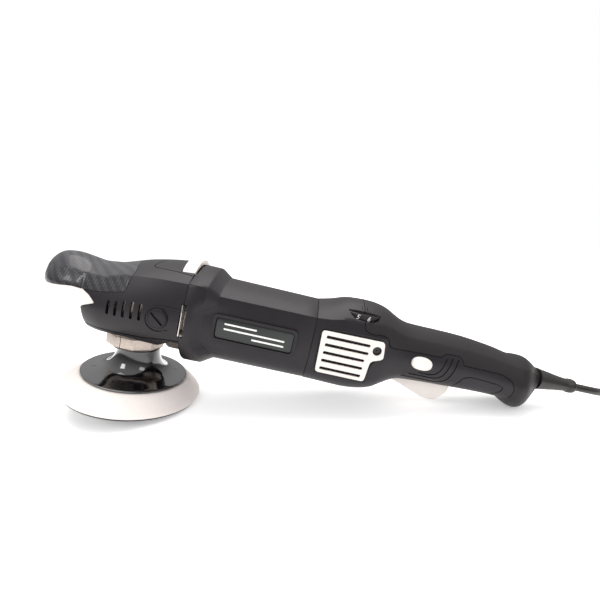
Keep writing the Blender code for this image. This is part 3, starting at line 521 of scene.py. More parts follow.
class Nodes:
    """Wires one finish's nodes."""

    def __init__(self, material: bpy.types.Material, finish: Finish) -> None:
        """Keeps the tree and its Principled shader."""
        self.tree = material.node_tree
        self.finish = finish
        self.shader = self.tree.nodes["Principled BSDF"]
        self.shader.inputs["Metallic"].default_value = finish.metallic
        self.shader.inputs["Coat Weight"].default_value = finish.coat
        self.shader.inputs["Coat Roughness"].default_value = 0.06
        self.shader.inputs["Sheen Weight"].default_value = finish.sheen
        self.shader.inputs["Specular IOR Level"].default_value = finish.specular
        material.diffuse_color = (*finish.colour, 1.0)

    def add(self, kind: str, **values: object) -> bpy.types.Node:
        """Adds a node and sets its values."""
        node = self.tree.nodes.new(kind)
        for key, value in values.items():
            setattr(node, key, value)
        return node

    def link(self, source: object, target: object) -> None:
        """Links two sockets."""
        self.tree.links.new(source, target)

    def math(self, operation: str, first: object, second: object = 0.0) -> bpy.types.NodeSocket:
        """One arithmetic step on sockets or numbers."""
        node = self.add("ShaderNodeMath", operation=operation)
        for socket, value in zip(node.inputs, (first, second)):
            if isinstance(value, (int, float)):
                socket.default_value = value
            else:
                self.link(value, socket)
        return node.outputs[0]

    def place(self, stretch: tuple[float, float, float] = (1.0, 1.0, 1.0)) -> bpy.types.NodeSocket:
        """Machine-frame coordinates in millimetres, stretched along each axis."""
        origin = self.add("ShaderNodeTexCoord")
        turn = self.add("ShaderNodeMapping", vector_type="POINT")
        turn.inputs["Rotation"].default_value = (0.0, -REST_TILT, 0.0)
        turn.inputs["Location"].default_value = -(Matrix.Rotation(-REST_TILT, 3, "Y") @ REST_PLACE)
        grow = self.add("ShaderNodeMapping", vector_type="POINT")
        grow.inputs["Scale"].default_value = [number / MM for number in stretch]
        self.link(origin.outputs["Object"], turn.inputs["Vector"])
        self.link(turn.outputs["Vector"], grow.inputs["Vector"])
        return grow.outputs["Vector"]

    def noise(self, scale: float, detail: float = 3.0, stretch: tuple[float, float, float] = (1.0, 1.0, 1.0),
              rough: float = 0.55) -> bpy.types.NodeSocket:
        """A noise whose scale is in waves per millimetre."""
        node = self.add("ShaderNodeTexNoise")
        node.inputs["Scale"].default_value = scale
        node.inputs["Detail"].default_value = detail
        node.inputs["Roughness"].default_value = rough
        self.link(self.place(stretch), node.inputs["Vector"])
        return node.outputs["Fac"]

    def cells(self, scale: float, feature: str = "F1") -> bpy.types.NodeSocket:
        """Distance to the cells of a Voronoi pattern."""
        node = self.add("ShaderNodeTexVoronoi", feature=feature)
        node.inputs["Scale"].default_value = scale
        self.link(self.place(), node.inputs["Vector"])
        return node.outputs["Distance"]

    def spread(self, value: object, low: float, high: float, start: float = 0.3,
               end: float = 0.7) -> bpy.types.NodeSocket:
        """Maps a value from start..end to low..high."""
        node = self.add("ShaderNodeMapRange")
        for key, number in (("From Min", start), ("From Max", end), ("To Min", low), ("To Max", high)):
            node.inputs[key].default_value = number
        self.link(value, node.inputs["Value"])
        return node.outputs["Result"]

    def mixed(self, factor: object, first: object, second: object) -> bpy.types.NodeSocket:
        """Mixes two colours or sockets."""
        node = self.add("ShaderNodeMix", data_type="RGBA")
        self.link(factor, node.inputs["Factor"])
        for socket, value in ((node.inputs["A"], first), (node.inputs["B"], second)):
            socket = [s for s in node.inputs if s.name == socket.name and s.type == "RGBA"][0]
            if isinstance(value, tuple):
                socket.default_value = (*value, 1.0)
            else:
                self.link(value, socket)
        return [s for s in node.outputs if s.type == "RGBA"][0]

    def relief(self, height: object, strength: float, distance: float = 0.0002) -> None:
        """Turns a height into a bump on the shader."""
        bump = self.add("ShaderNodeBump")
        bump.inputs["Strength"].default_value = strength
        bump.inputs["Distance"].default_value = distance
        self.link(height, bump.inputs["Height"])
        self.link(bump.outputs["Normal"], self.shader.inputs["Normal"])
        if self.finish.coat and self.finish.pattern is not Pattern.TWILL:
            self.link(bump.outputs["Normal"], self.shader.inputs["Coat Normal"])

    def twill(self) -> tuple[bpy.types.NodeSocket, bpy.types.NodeSocket]:
        """Woven tows: over the roof they lie along the machine, on the sides they climb.

        Returns:
            How bright each tow is, and the height of the weave.
        """
        tow = 2.3
        parts = self.add("ShaderNodeSeparateXYZ")
        self.link(self.place((1 / tow, 1 / tow, 1 / tow)), parts.inputs["Vector"])
        facing = self.add("ShaderNodeSeparateXYZ")
        self.link(self.add("ShaderNodeNewGeometry").outputs["Normal"], facing.inputs["Vector"])
        roof = self.math("GREATER_THAN", facing.outputs["Z"], 0.62)
        side = self.math("SUBTRACT", 1.0, roof)
        across = self.math("ADD", self.math("MULTIPLY", parts.outputs["Y"], roof),
                           self.math("MULTIPLY", parts.outputs["Z"], side))
        along = parts.outputs["X"]
        count = self.math("ADD", self.math("FLOOR", along), self.math("FLOOR", across))
        over = self.math("LESS_THAN", self.math("FLOORED_MODULO", count, 4.0), 2.0)
        warp = self.math("SINE", self.math("MULTIPLY", self.math("FRACT", along), math.pi))
        weft = self.math("SINE", self.math("MULTIPLY", self.math("FRACT", across), math.pi))
        light = self.math("ADD", self.math("MULTIPLY", over, warp),
                          self.math("MULTIPLY", self.math("SUBTRACT", 1.0, over),
                                    self.math("MULTIPLY", weft, 0.25)))
        return light, self.math("MAXIMUM", self.math("MULTIPLY", over, warp),
                                self.math("MULTIPLY", self.math("SUBTRACT", 1.0, over), weft))

    def build(self) -> None:
        """Wires the colour, the gloss and the relief of the finish's pattern."""
        finish = self.finish
        broad = self.spread(self.noise(0.035 * finish.scale, 2.0), 0.0, 1.0)
        if finish.pattern is Pattern.GRAIN:
            fine = self.noise(1.6 * finish.scale, 4.0)
            colour = self.mixed(self.math("MULTIPLY", broad, self.spread(fine, 0.6, 1.0)), finish.colour,
                                finish.second)
            gloss = self.spread(fine, finish.roughness - 0.05, finish.roughness + 0.07)
            self.relief(fine, finish.relief)
        elif finish.pattern is Pattern.PORES:
            pores = self.cells(0.9 * finish.scale)
            specks = self.noise(1.4 * finish.scale, 5.0)
            dirt = self.math("MULTIPLY", self.spread(specks, 0.0, 1.0, 0.52, 0.8), broad)
            colour = self.mixed(dirt, finish.colour, finish.second)
            gloss = self.spread(specks, finish.roughness - 0.08, finish.roughness + 0.08)
            self.relief(self.math("ADD", self.math("MULTIPLY", pores, 0.5), specks), finish.relief)
        elif finish.pattern is Pattern.CAST:
            grit = self.noise(0.9 * finish.scale, 6.0, rough=0.7)
            colour = self.mixed(self.spread(grit, 0.0, 1.0, 0.35, 0.68), finish.colour, finish.second)
            gloss = self.spread(grit, finish.roughness - 0.1, finish.roughness + 0.15)
            self.relief(grit, finish.relief)
        elif finish.pattern is Pattern.BRUSHED:
            lines = self.noise(2.2 * finish.scale, 4.0, (0.06, 1.0, 1.0))
            colour = self.mixed(self.spread(lines, 0.0, 1.0), finish.colour, finish.second)
            gloss = self.spread(lines, finish.roughness - 0.08, finish.roughness + 0.12)
            self.relief(lines, finish.relief)
        elif finish.pattern is Pattern.TWILL:
            light, height = self.twill()
            cloud = self.spread(self.noise(0.09, 1.5), 0.45, 1.0)
            colour = self.mixed(self.math("MULTIPLY", light, cloud), finish.colour, finish.second)
            gloss = self.spread(height, finish.roughness + 0.12, finish.roughness - 0.05, 0.0, 1.0)
            self.relief(height, finish.relief)
        elif finish.pattern is Pattern.WINDING:
            wave = self.add("ShaderNodeTexWave", bands_direction="DIAGONAL")
            wave.inputs["Scale"].default_value = 0.35 * finish.scale
            wave.inputs["Distortion"].default_value = 0.6
            self.link(self.place(), wave.inputs["Vector"])
            colour = self.mixed(wave.outputs["Fac"], finish.colour, finish.second)
            gloss = self.spread(broad, finish.roughness - 0.05, finish.roughness + 0.1)
            self.relief(wave.outputs["Fac"], finish.relief)
        elif finish.pattern is Pattern.LOOPS:
            loops = self.cells(1.3 * finish.scale)
            fuzz = self.noise(3.5, 4.0)
            colour = self.mixed(self.spread(loops, 0.0, 1.0, 0.1, 0.6), finish.second, finish.colour)
            gloss = self.spread(fuzz, finish.roughness - 0.1, finish.roughness)
            self.relief(self.math("ADD", loops, fuzz), finish.relief)
        else:
            hair = self.noise(3.0 * finish.scale, 3.0, (1.0, 0.15, 1.0))
            colour = self.mixed(broad, finish.colour, finish.second)
            gloss = self.spread(hair, finish.roughness, finish.roughness + 0.05)
            self.relief(hair, finish.relief, 0.00005)
        self.link(colour, self.shader.inputs["Base Color"])
        self.link(gloss, self.shader.inputs["Roughness"])


BLACK_PLASTIC = Finish("black_moulding", "black_plastic", (0.0075, 0.0055, 0.0075), (0.012, 0.009, 0.0115),
                       0.4, relief=0.16, specular=0.32)
GRIP_RUBBER = Finish("grip_overmould", "grip_rubber", (0.0075, 0.006, 0.0062), (0.0125, 0.0098, 0.0098), 0.5,
                     relief=0.2, scale=0.8, sheen=0.03, specular=0.3)
CARBON_PRINT = Finish("carbon_twill_print", "carbon_print", (0.004, 0.004, 0.0075), (0.06, 0.055, 0.062),
                      0.34, Pattern.TWILL, coat=0.25, relief=0.12, specular=0.35)
PALE_PLASTIC = Finish("cream_moulding", "pale_plastic", (0.80, 0.74, 0.70), (0.74, 0.68, 0.64), 0.36,
                      relief=0.06)
CAST_ALUMINIUM = Finish("blasted_casting", "cast_aluminium", (0.50, 0.43, 0.385), (0.36, 0.31, 0.275), 0.36,
                        Pattern.CAST, metallic=0.9, relief=0.25)
BRIGHT_LIP = Finish("machined_lip", "cast_aluminium", (0.66, 0.62, 0.60), (0.48, 0.45, 0.43), 0.22,
                    Pattern.BRUSHED, metallic=1.0, relief=0.1)
STEEL = Finish("ground_steel", "steel", (0.42, 0.42, 0.43), (0.30, 0.30, 0.31), 0.28, Pattern.BRUSHED,
               metallic=1.0)
PLUG_METAL = Finish("plated_pin", "plug_metal", (0.66, 0.64, 0.60), (0.56, 0.54, 0.50), 0.2, Pattern.BRUSHED,
                    metallic=1.0, relief=0.05)
MOTOR_IRON = Finish("stacked_laminations", "motor_iron", (0.16, 0.155, 0.15), (0.09, 0.088, 0.085), 0.45,
                    Pattern.BRUSHED, metallic=0.8, relief=0.3)
COPPER = Finish("enamelled_winding", "copper", (0.55, 0.20, 0.08), (0.33, 0.10, 0.04), 0.3, Pattern.WINDING,
                metallic=0.9, relief=0.5)
CARBON_BRUSH = Finish("pressed_graphite", "carbon", (0.03, 0.03, 0.032), (0.05, 0.05, 0.052), 0.55,
                      Pattern.CAST, relief=0.2)
BADGE_PLATE = Finish("badge_enamel", "badge_plate", (0.006, 0.0095, 0.0085), (0.009, 0.013, 0.0115), 0.3,
                     Pattern.LACQUER, relief=0.08)
BADGE_MARK = Finish("badge_inlay", "pale_plastic", (0.82, 0.81, 0.79), (0.74, 0.73, 0.71), 0.35, relief=0.05)
BOARD = Finish("potted_board", "board", (0.02, 0.11, 0.05), (0.03, 0.16, 0.07), 0.4, Pattern.CAST,
               relief=0.15)
HUB_GLOSS = Finish("black_lacquer", "hub_gloss", (0.0035, 0.003, 0.0038), (0.006, 0.0052, 0.006), 0.09,
                   Pattern.LACQUER, coat=1.0, relief=0.03)
FOAM = Finish("moulded_foam", "foam", (0.84, 0.775, 0.735), (0.66, 0.59, 0.555), 0.62, Pattern.PORES,
              relief=0.16, sheen=0.15)
HOOK_FACE = Finish("hook_face_pile", "hook_face", (0.010, 0.009, 0.010), (0.026, 0.023, 0.025), 0.85,
                   Pattern.LOOPS, relief=0.6)
CORD_RUBBER = Finish("cord_sheath", "cord_rubber", (0.012, 0.0105, 0.010), (0.022, 0.019, 0.017), 0.42,
                     relief=0.1, scale=0.7)
NODE_FINISHES = {item.slot: item for item in (
    BLACK_PLASTIC, GRIP_RUBBER, CARBON_PRINT, PALE_PLASTIC, CAST_ALUMINIUM, STEEL, PLUG_METAL, MOTOR_IRON,
    COPPER,
    CARBON_BRUSH, BADGE_PLATE, BOARD, HUB_GLOSS, FOAM, HOOK_FACE, CORD_RUBBER)}


# ---------------------------------------------------------------- the studio and the cord

@dataclass
class Studio:
    """The pale floor, the soft lights and the camera."""

    eye: tuple[float, float, float] = (-0.0150, -0.3250, 0.1611)
    right: tuple[float, float, float] = (0.99989, 0.00694, 0.01295)
    up: tuple[float, float, float] = (-0.01395, 0.17279, 0.98486)
    lens: float = 20.7
    floor_half: float = 6.0

    def camera(self) -> None:
        """Sets the camera up first, because the cord's layout depends on its view."""
        data = bpy.data.cameras.new("view")
        data.lens, data.sensor_width = self.lens, 36.0
        data.clip_start = 0.01
        item = bpy.data.objects.new("view", data)
        bpy.context.scene.collection.objects.link(item)
        right, up = Vector(self.right).normalized(), Vector(self.up)
        up = (up - right * up.dot(right)).normalized()
        turn = Matrix((right, up, right.cross(up))).transposed().to_4x4()
        item.matrix_world = Matrix.Translation(self.eye) @ turn
        bpy.context.scene.camera = item

    def light(self, name: str, place: Sequence[float], target: Sequence[float], size: Point, power: float,
              colour: tuple[float, float, float] = (1.0, 1.0, 1.0)) -> None:
        """Adds one soft rectangular light that faces a point."""
        data = bpy.data.lights.new(name, "AREA")
        data.shape, data.size, data.size_y = "RECTANGLE", *size
        data.energy, data.color = power, colour
        item = bpy.data.objects.new(name, data)
        bpy.context.scene.collection.objects.link(item)
        item.location = place
        item.rotation_euler = (Vector(target) - Vector(place)).to_track_quat("-Z", "Y").to_euler()

    def build(self) -> None:
        """Makes the floor, the white surroundings and the lights."""
        bpy.ops.object.select_all(action="DESELECT")
        bpy.ops.mesh.primitive_grid_add(x_subdivisions=8, y_subdivisions=8, size=2.0 * self.floor_half)
        floor = bpy.context.object
        floor.name = "floor"
        paint = bpy.data.materials.new("floor_paint")
        paint.use_nodes = True
        shader = paint.node_tree.nodes["Principled BSDF"]
        shader.inputs["Base Color"].default_value = (0.93, 0.93, 0.93, 1.0)
        shader.inputs["Roughness"].default_value = 0.9
        shader.inputs["Emission Color"].default_value = (1.0, 1.0, 1.0, 1.0)
        shader.inputs["Emission Strength"].default_value = 0.32
        floor.data.materials.append(paint)
        world = bpy.data.worlds.new("white_room")
        world.use_nodes = True
        self.surroundings(world.node_tree)
        bpy.context.scene.world = world
        bpy.context.scene.view_settings.view_transform = "Standard"
        self.light("overhead", (-0.05, 0.15, 1.1), (0.0, 0.0, 0.1), (1.3, 0.7), 10.0, (1.0, 0.975, 0.95))
        self.light("front_left", (-0.75, -0.8, 0.75), (-0.05, 0.0, 0.08), (0.35, 0.35), 3.2)
        self.light("front_right", (0.9, -0.8, 0.75), (0.1, 0.0, 0.08), (0.5, 0.3), 1.8, (0.93, 0.88, 1.0))

    @staticmethod
    def surroundings(tree: bpy.types.NodeTree) -> None:
        """A white room to look at, whose light comes mostly from above."""
        shade = tree.nodes["Background"]
        coordinates = tree.nodes.new("ShaderNodeTexCoord")
        parts = tree.nodes.new("ShaderNodeSeparateXYZ")
        rise = tree.nodes.new("ShaderNodeMapRange")
        sight = tree.nodes.new("ShaderNodeLightPath")
        choice = tree.nodes.new("ShaderNodeMix")
        choice.data_type = "FLOAT"
        for key, number in (("From Min", 0.1), ("From Max", 0.75), ("To Min", 0.28), ("To Max", 1.15)):
            rise.inputs[key].default_value = number
        shade.inputs["Color"].default_value = (1.0, 1.0, 1.0, 1.0)
        tree.links.new(coordinates.outputs["Generated"], parts.inputs["Vector"])
        tree.links.new(parts.outputs["Z"], rise.inputs["Value"])
        tree.links.new(sight.outputs["Is Camera Ray"], choice.inputs[0])
        tree.links.new(rise.outputs["Result"], choice.inputs[2])
        choice.inputs[3].default_value = 1.0
        tree.links.new(choice.outputs[0], shade.inputs["Strength"])


@dataclass
class Lead:
    """The mains lead: about 4 m of round cord, most of it wound beside the machine."""

    radius: float = 0.00375
    length: float = 3.95
    exit: tuple[float, float, float] = (0.25552, 0.0, 0.02056)
    centre: tuple[float, float] = (0.3606, -0.062)
    inner_turn: float = 0.0395
    columns: int = 3
    rows: int = 4
    low_row: float = 0.00395
    plug_front: tuple[float, float, float] = (0.2377, -0.118, 0.013)

    ROUTE = (
        (0.25583, 0.0, 0.0204), (0.2701, 0.0008, 0.0173), (0.2846, 0.0050, 0.0133), (0.2986, 0.0135, 0.0091),
        (0.3121, 0.0250, 0.0060), (0.3266, 0.0375, 0.0042), (0.3426, 0.0475, 0.0039),
        (0.3616, 0.0525, 0.0039), (0.3816, 0.0490, 0.0039), (0.3986, 0.0375, 0.0039),
        (0.4096, 0.0200, 0.0039), (0.4151, 0.0000, 0.0039), (0.4156, -0.0180, 0.0039),
        (0.4153, -0.0305, 0.0039))
    TAIL = (
        (0.3302, -0.1177, 0.0255), (0.3232, -0.1178, 0.0225), (0.3157, -0.1179, 0.0180),
        (0.3082, -0.1180, 0.0146), (0.3007, -0.1180, 0.0132), (0.2893, -0.1180, 0.0130))

    def coil(self) -> list[Vector]:
        """The wound part's points, row on row, in along one row and out along the next.

        Returns:
            Points from the first turn at the bottom to the last turn on top.
        """
        thick = 2.0 * self.radius
        per_turn = 36
        turns = self.columns * self.rows
        points = []
        for step in range(int((turns + 0.25) * per_turn) + 1):
            turn, part = divmod(step, per_turn)
            ease = max(0.0, (part / per_turn - 0.72) / 0.28)
            ease = ease * ease * (3.0 - 2.0 * ease)
            here, there = (self.slot_of(min(number, turns - 1)) for number in (turn, turn + 1))
            column, row = (a + (b - a) * ease for a, b in zip(here, there))
            reach = self.inner_turn + column * thick
            angle = -math.tau * step / per_turn
            points.append(Vector((self.centre[0] + reach * math.cos(angle),
                                  self.centre[1] + reach * math.sin(angle),
                                  self.low_row + row * thick)))
        return points

    def slot_of(self, turn: int) -> tuple[int, int]:
        """The column, counted from the inside, and the row of one turn."""
        row, place = divmod(turn, self.columns)
        return (place if row % 2 else self.columns - 1 - place), row

    def cord(self) -> bpy.types.Object:
        """Lays the whole lead as one curve."""
        points = [*spline(self.ROUTE, 6), *self.coil(), *spline(self.TAIL, 6)]
        data = bpy.data.curves.new("mains_lead", "CURVE")
        data.dimensions = "3D"
        data.bevel_depth, data.bevel_resolution, data.use_fill_caps = self.radius, 4, True
        run = data.splines.new("POLY")
        run.points.add(len(points) - 1)
        for spot, place in zip(run.points, points):
            spot.co = (*place, 1.0)
        run.use_smooth = True
        item = bpy.data.objects.new("mains_lead", data)
        bpy.context.scene.collection.objects.link(item)
        data.materials.append(CORD_RUBBER.material())
        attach(item, "root")
        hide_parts("cord_tube", "cord_coil", "cord_tail")
        total = sum((second - first).length for first, second in zip(points, points[1:]))
        LOG.info("mains_lead: %.3f m of cord in %d points", total, len(points))
        return item

    def plug(self) -> list[bpy.types.Object]:
        """The moulded plug with its grip ribs and sleeve, and its two pins."""
        front, middle, level = (value / MM for value in self.plug_front)
        barrel = [(4.0, 0.0), (11.0, 0.0), (12.3, 1.2), (12.4, 12.0)]
        ribs = [(12.1 - 0.22 * number + (0.0 if step in (0, 3) else -0.7), 13.5 + 3.0 * number + step * 0.75)
                for number in range(5) for step in range(4)]
        sleeve = [(8.6, 34.0), (6.6, 37.0), (6.2, 39.0)]
        grooves = [(6.0 - 0.1 * number - (0.9 if step in (1, 2) else 0.0), 40.5 + 2.6 * number + step * 0.5)
                   for number in range(4) for step in range(4)]
        body = turned("plug_grip", [*barrel, *ribs, *sleeve, *grooves, (5.4, 51.0), (2.0, 51.0)],
                      (front, middle, level), "X", 64)
        soften(body, 0.25, 2, 30.0)
        pieces = [self.lay(body, CORD_RUBBER, ["plug_body"])]
        for side, name in ((-1.0, "left"), (1.0, "right")):
            pin = turned(f"contact_pin_{name}",
                         [(0.9, -19.3), (1.9, -18.9), (2.4, -17.8), (2.4, -0.3), (1.0, -0.3)],
                         (front, middle + side * 7.0, level), "X", 32)
            sleeve_band = turned("band", [(2.45, -9.0), (2.55, -8.6), (2.55, -0.4), (2.45, -0.35)],
                                 (front, middle + side * 7.0, level), "X", 32)
            soften(pin, 0.3, 3)
            pieces.append(self.lay(pin, PLUG_METAL, [f"plug_pin_{name}"]))
            sleeve_band.name = f"pin_sleeve_{name}"
            pieces.append(self.lay(sleeve_band, CORD_RUBBER, []))
        return pieces

    def lay(self, item: bpy.types.Object, finish: Finish, nodes: list[str]) -> bpy.types.Object:
        """Settles a piece that was drawn in millimetres where it lies on the ground."""
        only(item)
        item.matrix_world = Matrix.Scale(MM, 4)
        bpy.ops.object.transform_apply(location=True, rotation=True, scale=True)
        return settle(item, "root", finish, nodes, in_row_frame=True)

    def tie(self) -> bpy.types.Object:
        """A strap round the coil's turns on its far side."""
        inner = self.inner_turn / MM - 4.3
        outer = inner + 2.0 * self.radius / MM * self.columns + 1.1
        high = (self.low_row + (self.rows - 1) * 2 * self.radius + self.radius) / MM + 0.4
        middle_x, middle_y = self.centre[0] / MM, self.centre[1] / MM
        loop = rounded([(middle_y + inner, 0.1), (middle_y + outer, 0.1), (middle_y + outer, high),
                        (middle_y + inner, high)], 3.2, 6)
        strap = prism("cord_tie", loop, middle_x - 6.0, middle_x + 6.0, "X")
        hollow = prism("hollow", [(y + (0.7 if y < middle_y + 0.5 * (inner + outer) else -0.7),
                                   z + (0.08 if z < high / 2 else -0.7)) for y, z in loop],
                       middle_x - 9.0, middle_x + 9.0, "X")
        cut(strap, hollow)
        return self.lay(strap, HOOK_FACE, [])

    def build(self) -> None:
        lead = self.cord()
        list(self.plug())
        self.tie()


# ---------------------------------------------------------------- the machine

@dataclass
class Head:
    """The nose grip and the cover over the gear case."""

    wall: float = 2.5
    cap_place: Point = (33.5, 89.7)
    slots: int = 5

    STATIONS = (
        (-89.4, 103.3, 88.7, 5.4, 3.4, 100.2), (-88.7, 107.2, 84.8, 7.8, 5.0, 103.0),
        (-86.8, 111.8, 82.0, 10.4, 6.8, 106.6), (-83.2, 116.4, 80.0, 14.4, 9.8, 109.4),
        (-77.5, 120.8, 79.0, 20.8, 14.6, 110.8), (-70.0, 122.8, 79.1, 25.8, 19.0, 110.9),
        (-62.0, 123.2, 79.5, 28.3, 21.8, 110.6), (-52.0, 122.0, 79.5, 29.5, 23.5, 110.2),
        (-44.0, 120.6, 79.0, 30.5, 25.0, 110.2), (-40.0, 120.3, 62.0, 31.5, 25.8, 110.2),
        (-36.0, 120.5, 54.0, 33.5, 27.0, 110.3), (-22.0, 122.5, 50.0, 38.5, 30.5, 111.3),
        (-8.0, 127.0, 50.0, 41.5, 33.5, 115.8), (4.0, 130.8, 50.0, 43.5, 36.0, 118.8),
        (20.0, 134.4, 49.0, 45.0, 38.2, 121.0), (36.0, 137.0, 48.0, 45.8, 39.6, 122.3),
        (52.7, 138.6, 47.0, 46.3, 40.6, 123.0))
    COVER_SEAM = ((-99.0, 91.5), (-66.0, 94.8), (-50.0, 97.2), (-38.7, 96.8), (-22.0, 98.8), (-9.5, 101.8),
                  (1.6, 105.0), (3.6, 117.3), (4.4, 120.4), (1.6, 125.2), (-3.4, 128.2), (-6.0, 145.0))
    BASE_EDGE = ((-39.6, 96.9), (-31.0, 93.6), (-24.0, 88.5), (-37.0, 83.0), (-41.6, 78.0), (-44.5, 60.0))
    RIM_LINE = ((-60.0, 66.4), (-1.4, 66.4), (20.0, 68.2), (41.0, 71.8), (60.0, 73.2))
    INSET_LINE = ((20.0, -3.0), (14.5, -19.0), (16.0, -23.0), (24.0, -25.5), (56.0, -31.5))
    BOSS_LINE = ((60.0, 100.2), (37.5, 100.4), (30.5, 100.0), (25.8, 97.4), (22.6, 92.6), (22.2, 86.4),
                 (25.0, 80.6), (30.6, 77.4), (36.6, 77.6), (42.0, 80.8))

    def build(self) -> None:
        """Makes the head's pieces."""
        self.covers()
        self.caps()
        self.lips()
        self.lock_button()

    def covers(self) -> None:
        """Lofts the whole head, cuts its openings and grooves, and parts it at its seams."""
        skin = body_loft("head", self.STATIONS, 5, open_start=False)
        walled(skin, self.wall)
        below = [(-60.0, 20.0), (-60.0, 55.0), (-45.6, 55.0), (-45.6, 63.0), (33.0, 63.0), (46.0, 70.5),
                 (60.0, 70.5), (60.0, 20.0)]
        cut(skin, prism("below", below, -FAR, FAR))
        cut(skin, self.vents())
        cut(skin, block("gap", (51.0, -FAR, 77.4), (60.0, FAR, 106.2)))
        cut(skin, block("button_notch", (40.6, -27.0, 120.0), (60.0, 27.0, 150.0)))
        cut(skin, self.grooves())
        cut(skin, self.bosses(), "UNION")
        for line in (self.COVER_SEAM, self.BASE_EDGE):
            cut(skin, prism("blade", ribbon(rounded(line, 2.0, 4, False), SEAM), -FAR, FAR))
        parts = loose_parts(skin)
        cover, base = nearest(parts, (-60.0, 0.0, 123.0)), nearest(parts, (-60.0, 0.0, 79.0))
        head = nearest(parts, (30.0, 0.0, 136.0))
        for extra in [item for item in parts if item not in (cover, base, head)]:
            bpy.data.objects.remove(extra, do_unlink=True)
        cover.name, base.name, head.name = "nose_cover", "nose_base", "gear_head_cover"
        settle(cover, "root", CARBON_PRINT, ["nose_grip_cover"], 38.0)
        settle(base, "root", PALE_PLASTIC, ["nose_grip_base"])
        settle(head, "root", BLACK_PLASTIC, ["head_cover"], 38.0)

    def vents(self) -> bpy.types.Object:
        """The upright slots on both sides, each a little taller than the last."""
        cutters = []
        for number in range(self.slots):
            middle, low, high = -11.0 + 7.2 * number, 82.6 + 0.4 * number, 94.6 + 1.4 * min(number, 3)
            outline = rounded([(middle - 1.3, low), (middle + 1.3, low), (middle + 1.3, high),
                               (middle - 1.3, high)],
                              1.2, 4)
            cutters.append(prism("vent", outline, -FAR, FAR))
        return gather(cutters)

    def grooves(self) -> bpy.types.Object:
        """Shallow lines: the rim above the lower edge, and the inset on the roof."""
        lines = [prism("line", ribbon(rounded(self.RIM_LINE, 4.0, 3, False), 0.9), -FAR, FAR)]
        for side in (1.0, -1.0):
            path = rounded([(x, side * y) for x, y in self.INSET_LINE], 2.0, 4, False)
            lines.append(prism("line", ribbon(path, 0.7), 100.0, 150.0, "Z"))
        cutter = gather(lines)
        cut(cutter, body_loft("core", self.STATIONS[8:], 3, 0.8, False, False))
        return cutter

    def bosses(self) -> bpy.types.Object:
        """The raised ridge that curls round each screw cap and runs back to the seam."""
        ridge = prism("ridge", ribbon(rounded(self.BOSS_LINE, 3.0, 4, False), 1.5), -FAR, FAR)
        cut(ridge, block("seam_end", (51.6, -FAR - 1.0, 60.0), (70.0, FAR + 1.0, 120.0)))
        grown = body_loft("grown", self.STATIONS[8:], 3, -0.7, False, False)
        cut(ridge, grown, "INTERSECT")
        cut(ridge, body_loft("core", self.STATIONS[8:], 3, 1.2, False, False))
        return ridge

    def caps(self) -> None:
        """The round screw caps with a coin slot, one a side."""
        x, z = self.cap_place
        edge = -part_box("cover_cap_left")[0].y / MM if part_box("cover_cap_left")[0].y < 0 else 47.6
        outer = max(abs(edge), 47.0)
        cap = turned("screw_cap_front", [(2.0, -41.2), (8.7, -41.2), (8.7, -outer + 1.4), (8.2, -outer + 0.3),
                                         (6.8, -outer), (2.0, -outer)], (x, 0.0, z), "Y", 72)
        ring = turned("ring",
                      [(7.2, -outer - 1.0), (7.5, -outer - 1.0), (7.5, -outer + 0.5), (7.2, -outer + 0.5)],
                      (x, 0.0, z), "Y", 72, hole=True)
        cut(cap, ring)
        slot = prism("coin_slot", ribbon([(x - 5.2, z + 4.4), (x + 5.2, z - 4.4)], 2.0), -outer - 3.0,
                     -outer + 1.6)
        cut(cap, slot)
        twin = mirrored(cap, "screw_cap_back")
        boxes = {name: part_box(name)[0].y for name in ("cover_cap_left", "cover_cap_right")}
        front = min(boxes, key=boxes.get)
        back = max(boxes, key=boxes.get)
        settle(cap, "root", BLACK_PLASTIC, [front])
        settle(twin, "root", BLACK_PLASTIC, [back])

    def lips(self) -> None:
        """The machined edge of the casting that shows in the gap behind the cover."""
        lip = block("casting_lip_front", (51.5, -44.6, 78.0), (52.5, -40.0, 105.6))
        soften(lip, 0.2, 2)
        twin = mirrored(lip, "casting_lip_back")
        settle(lip, "root", BRIGHT_LIP)
        settle(twin, "root", BRIGHT_LIP)

    def lock_button(self) -> None:
        """The pale saddle over the ridge that locks the spindle."""
        top = spline([(0.0, 140.9), (10.0, 139.5), (18.6, 135.6), (23.6, 131.9), (25.6, 129.6)], 5)
        inner = spline([(22.6, 126.4), (20.6, 128.9), (15.6, 132.6), (8.0, 135.4), (0.0, 136.2)], 5)
        half = [(point.x, point.y) for point in (*top, *inner)]
        outline = [*half, *[(-y, z) for y, z in half[-2:0:-1]]]
        button = prism("spindle_lock_saddle", outline, 41.0, 52.2, "X")
        soften(button, 0.9, 4, 40.0)
        settle(button, "spindle_lock", PALE_PLASTIC, ["spindle_lock_button"])


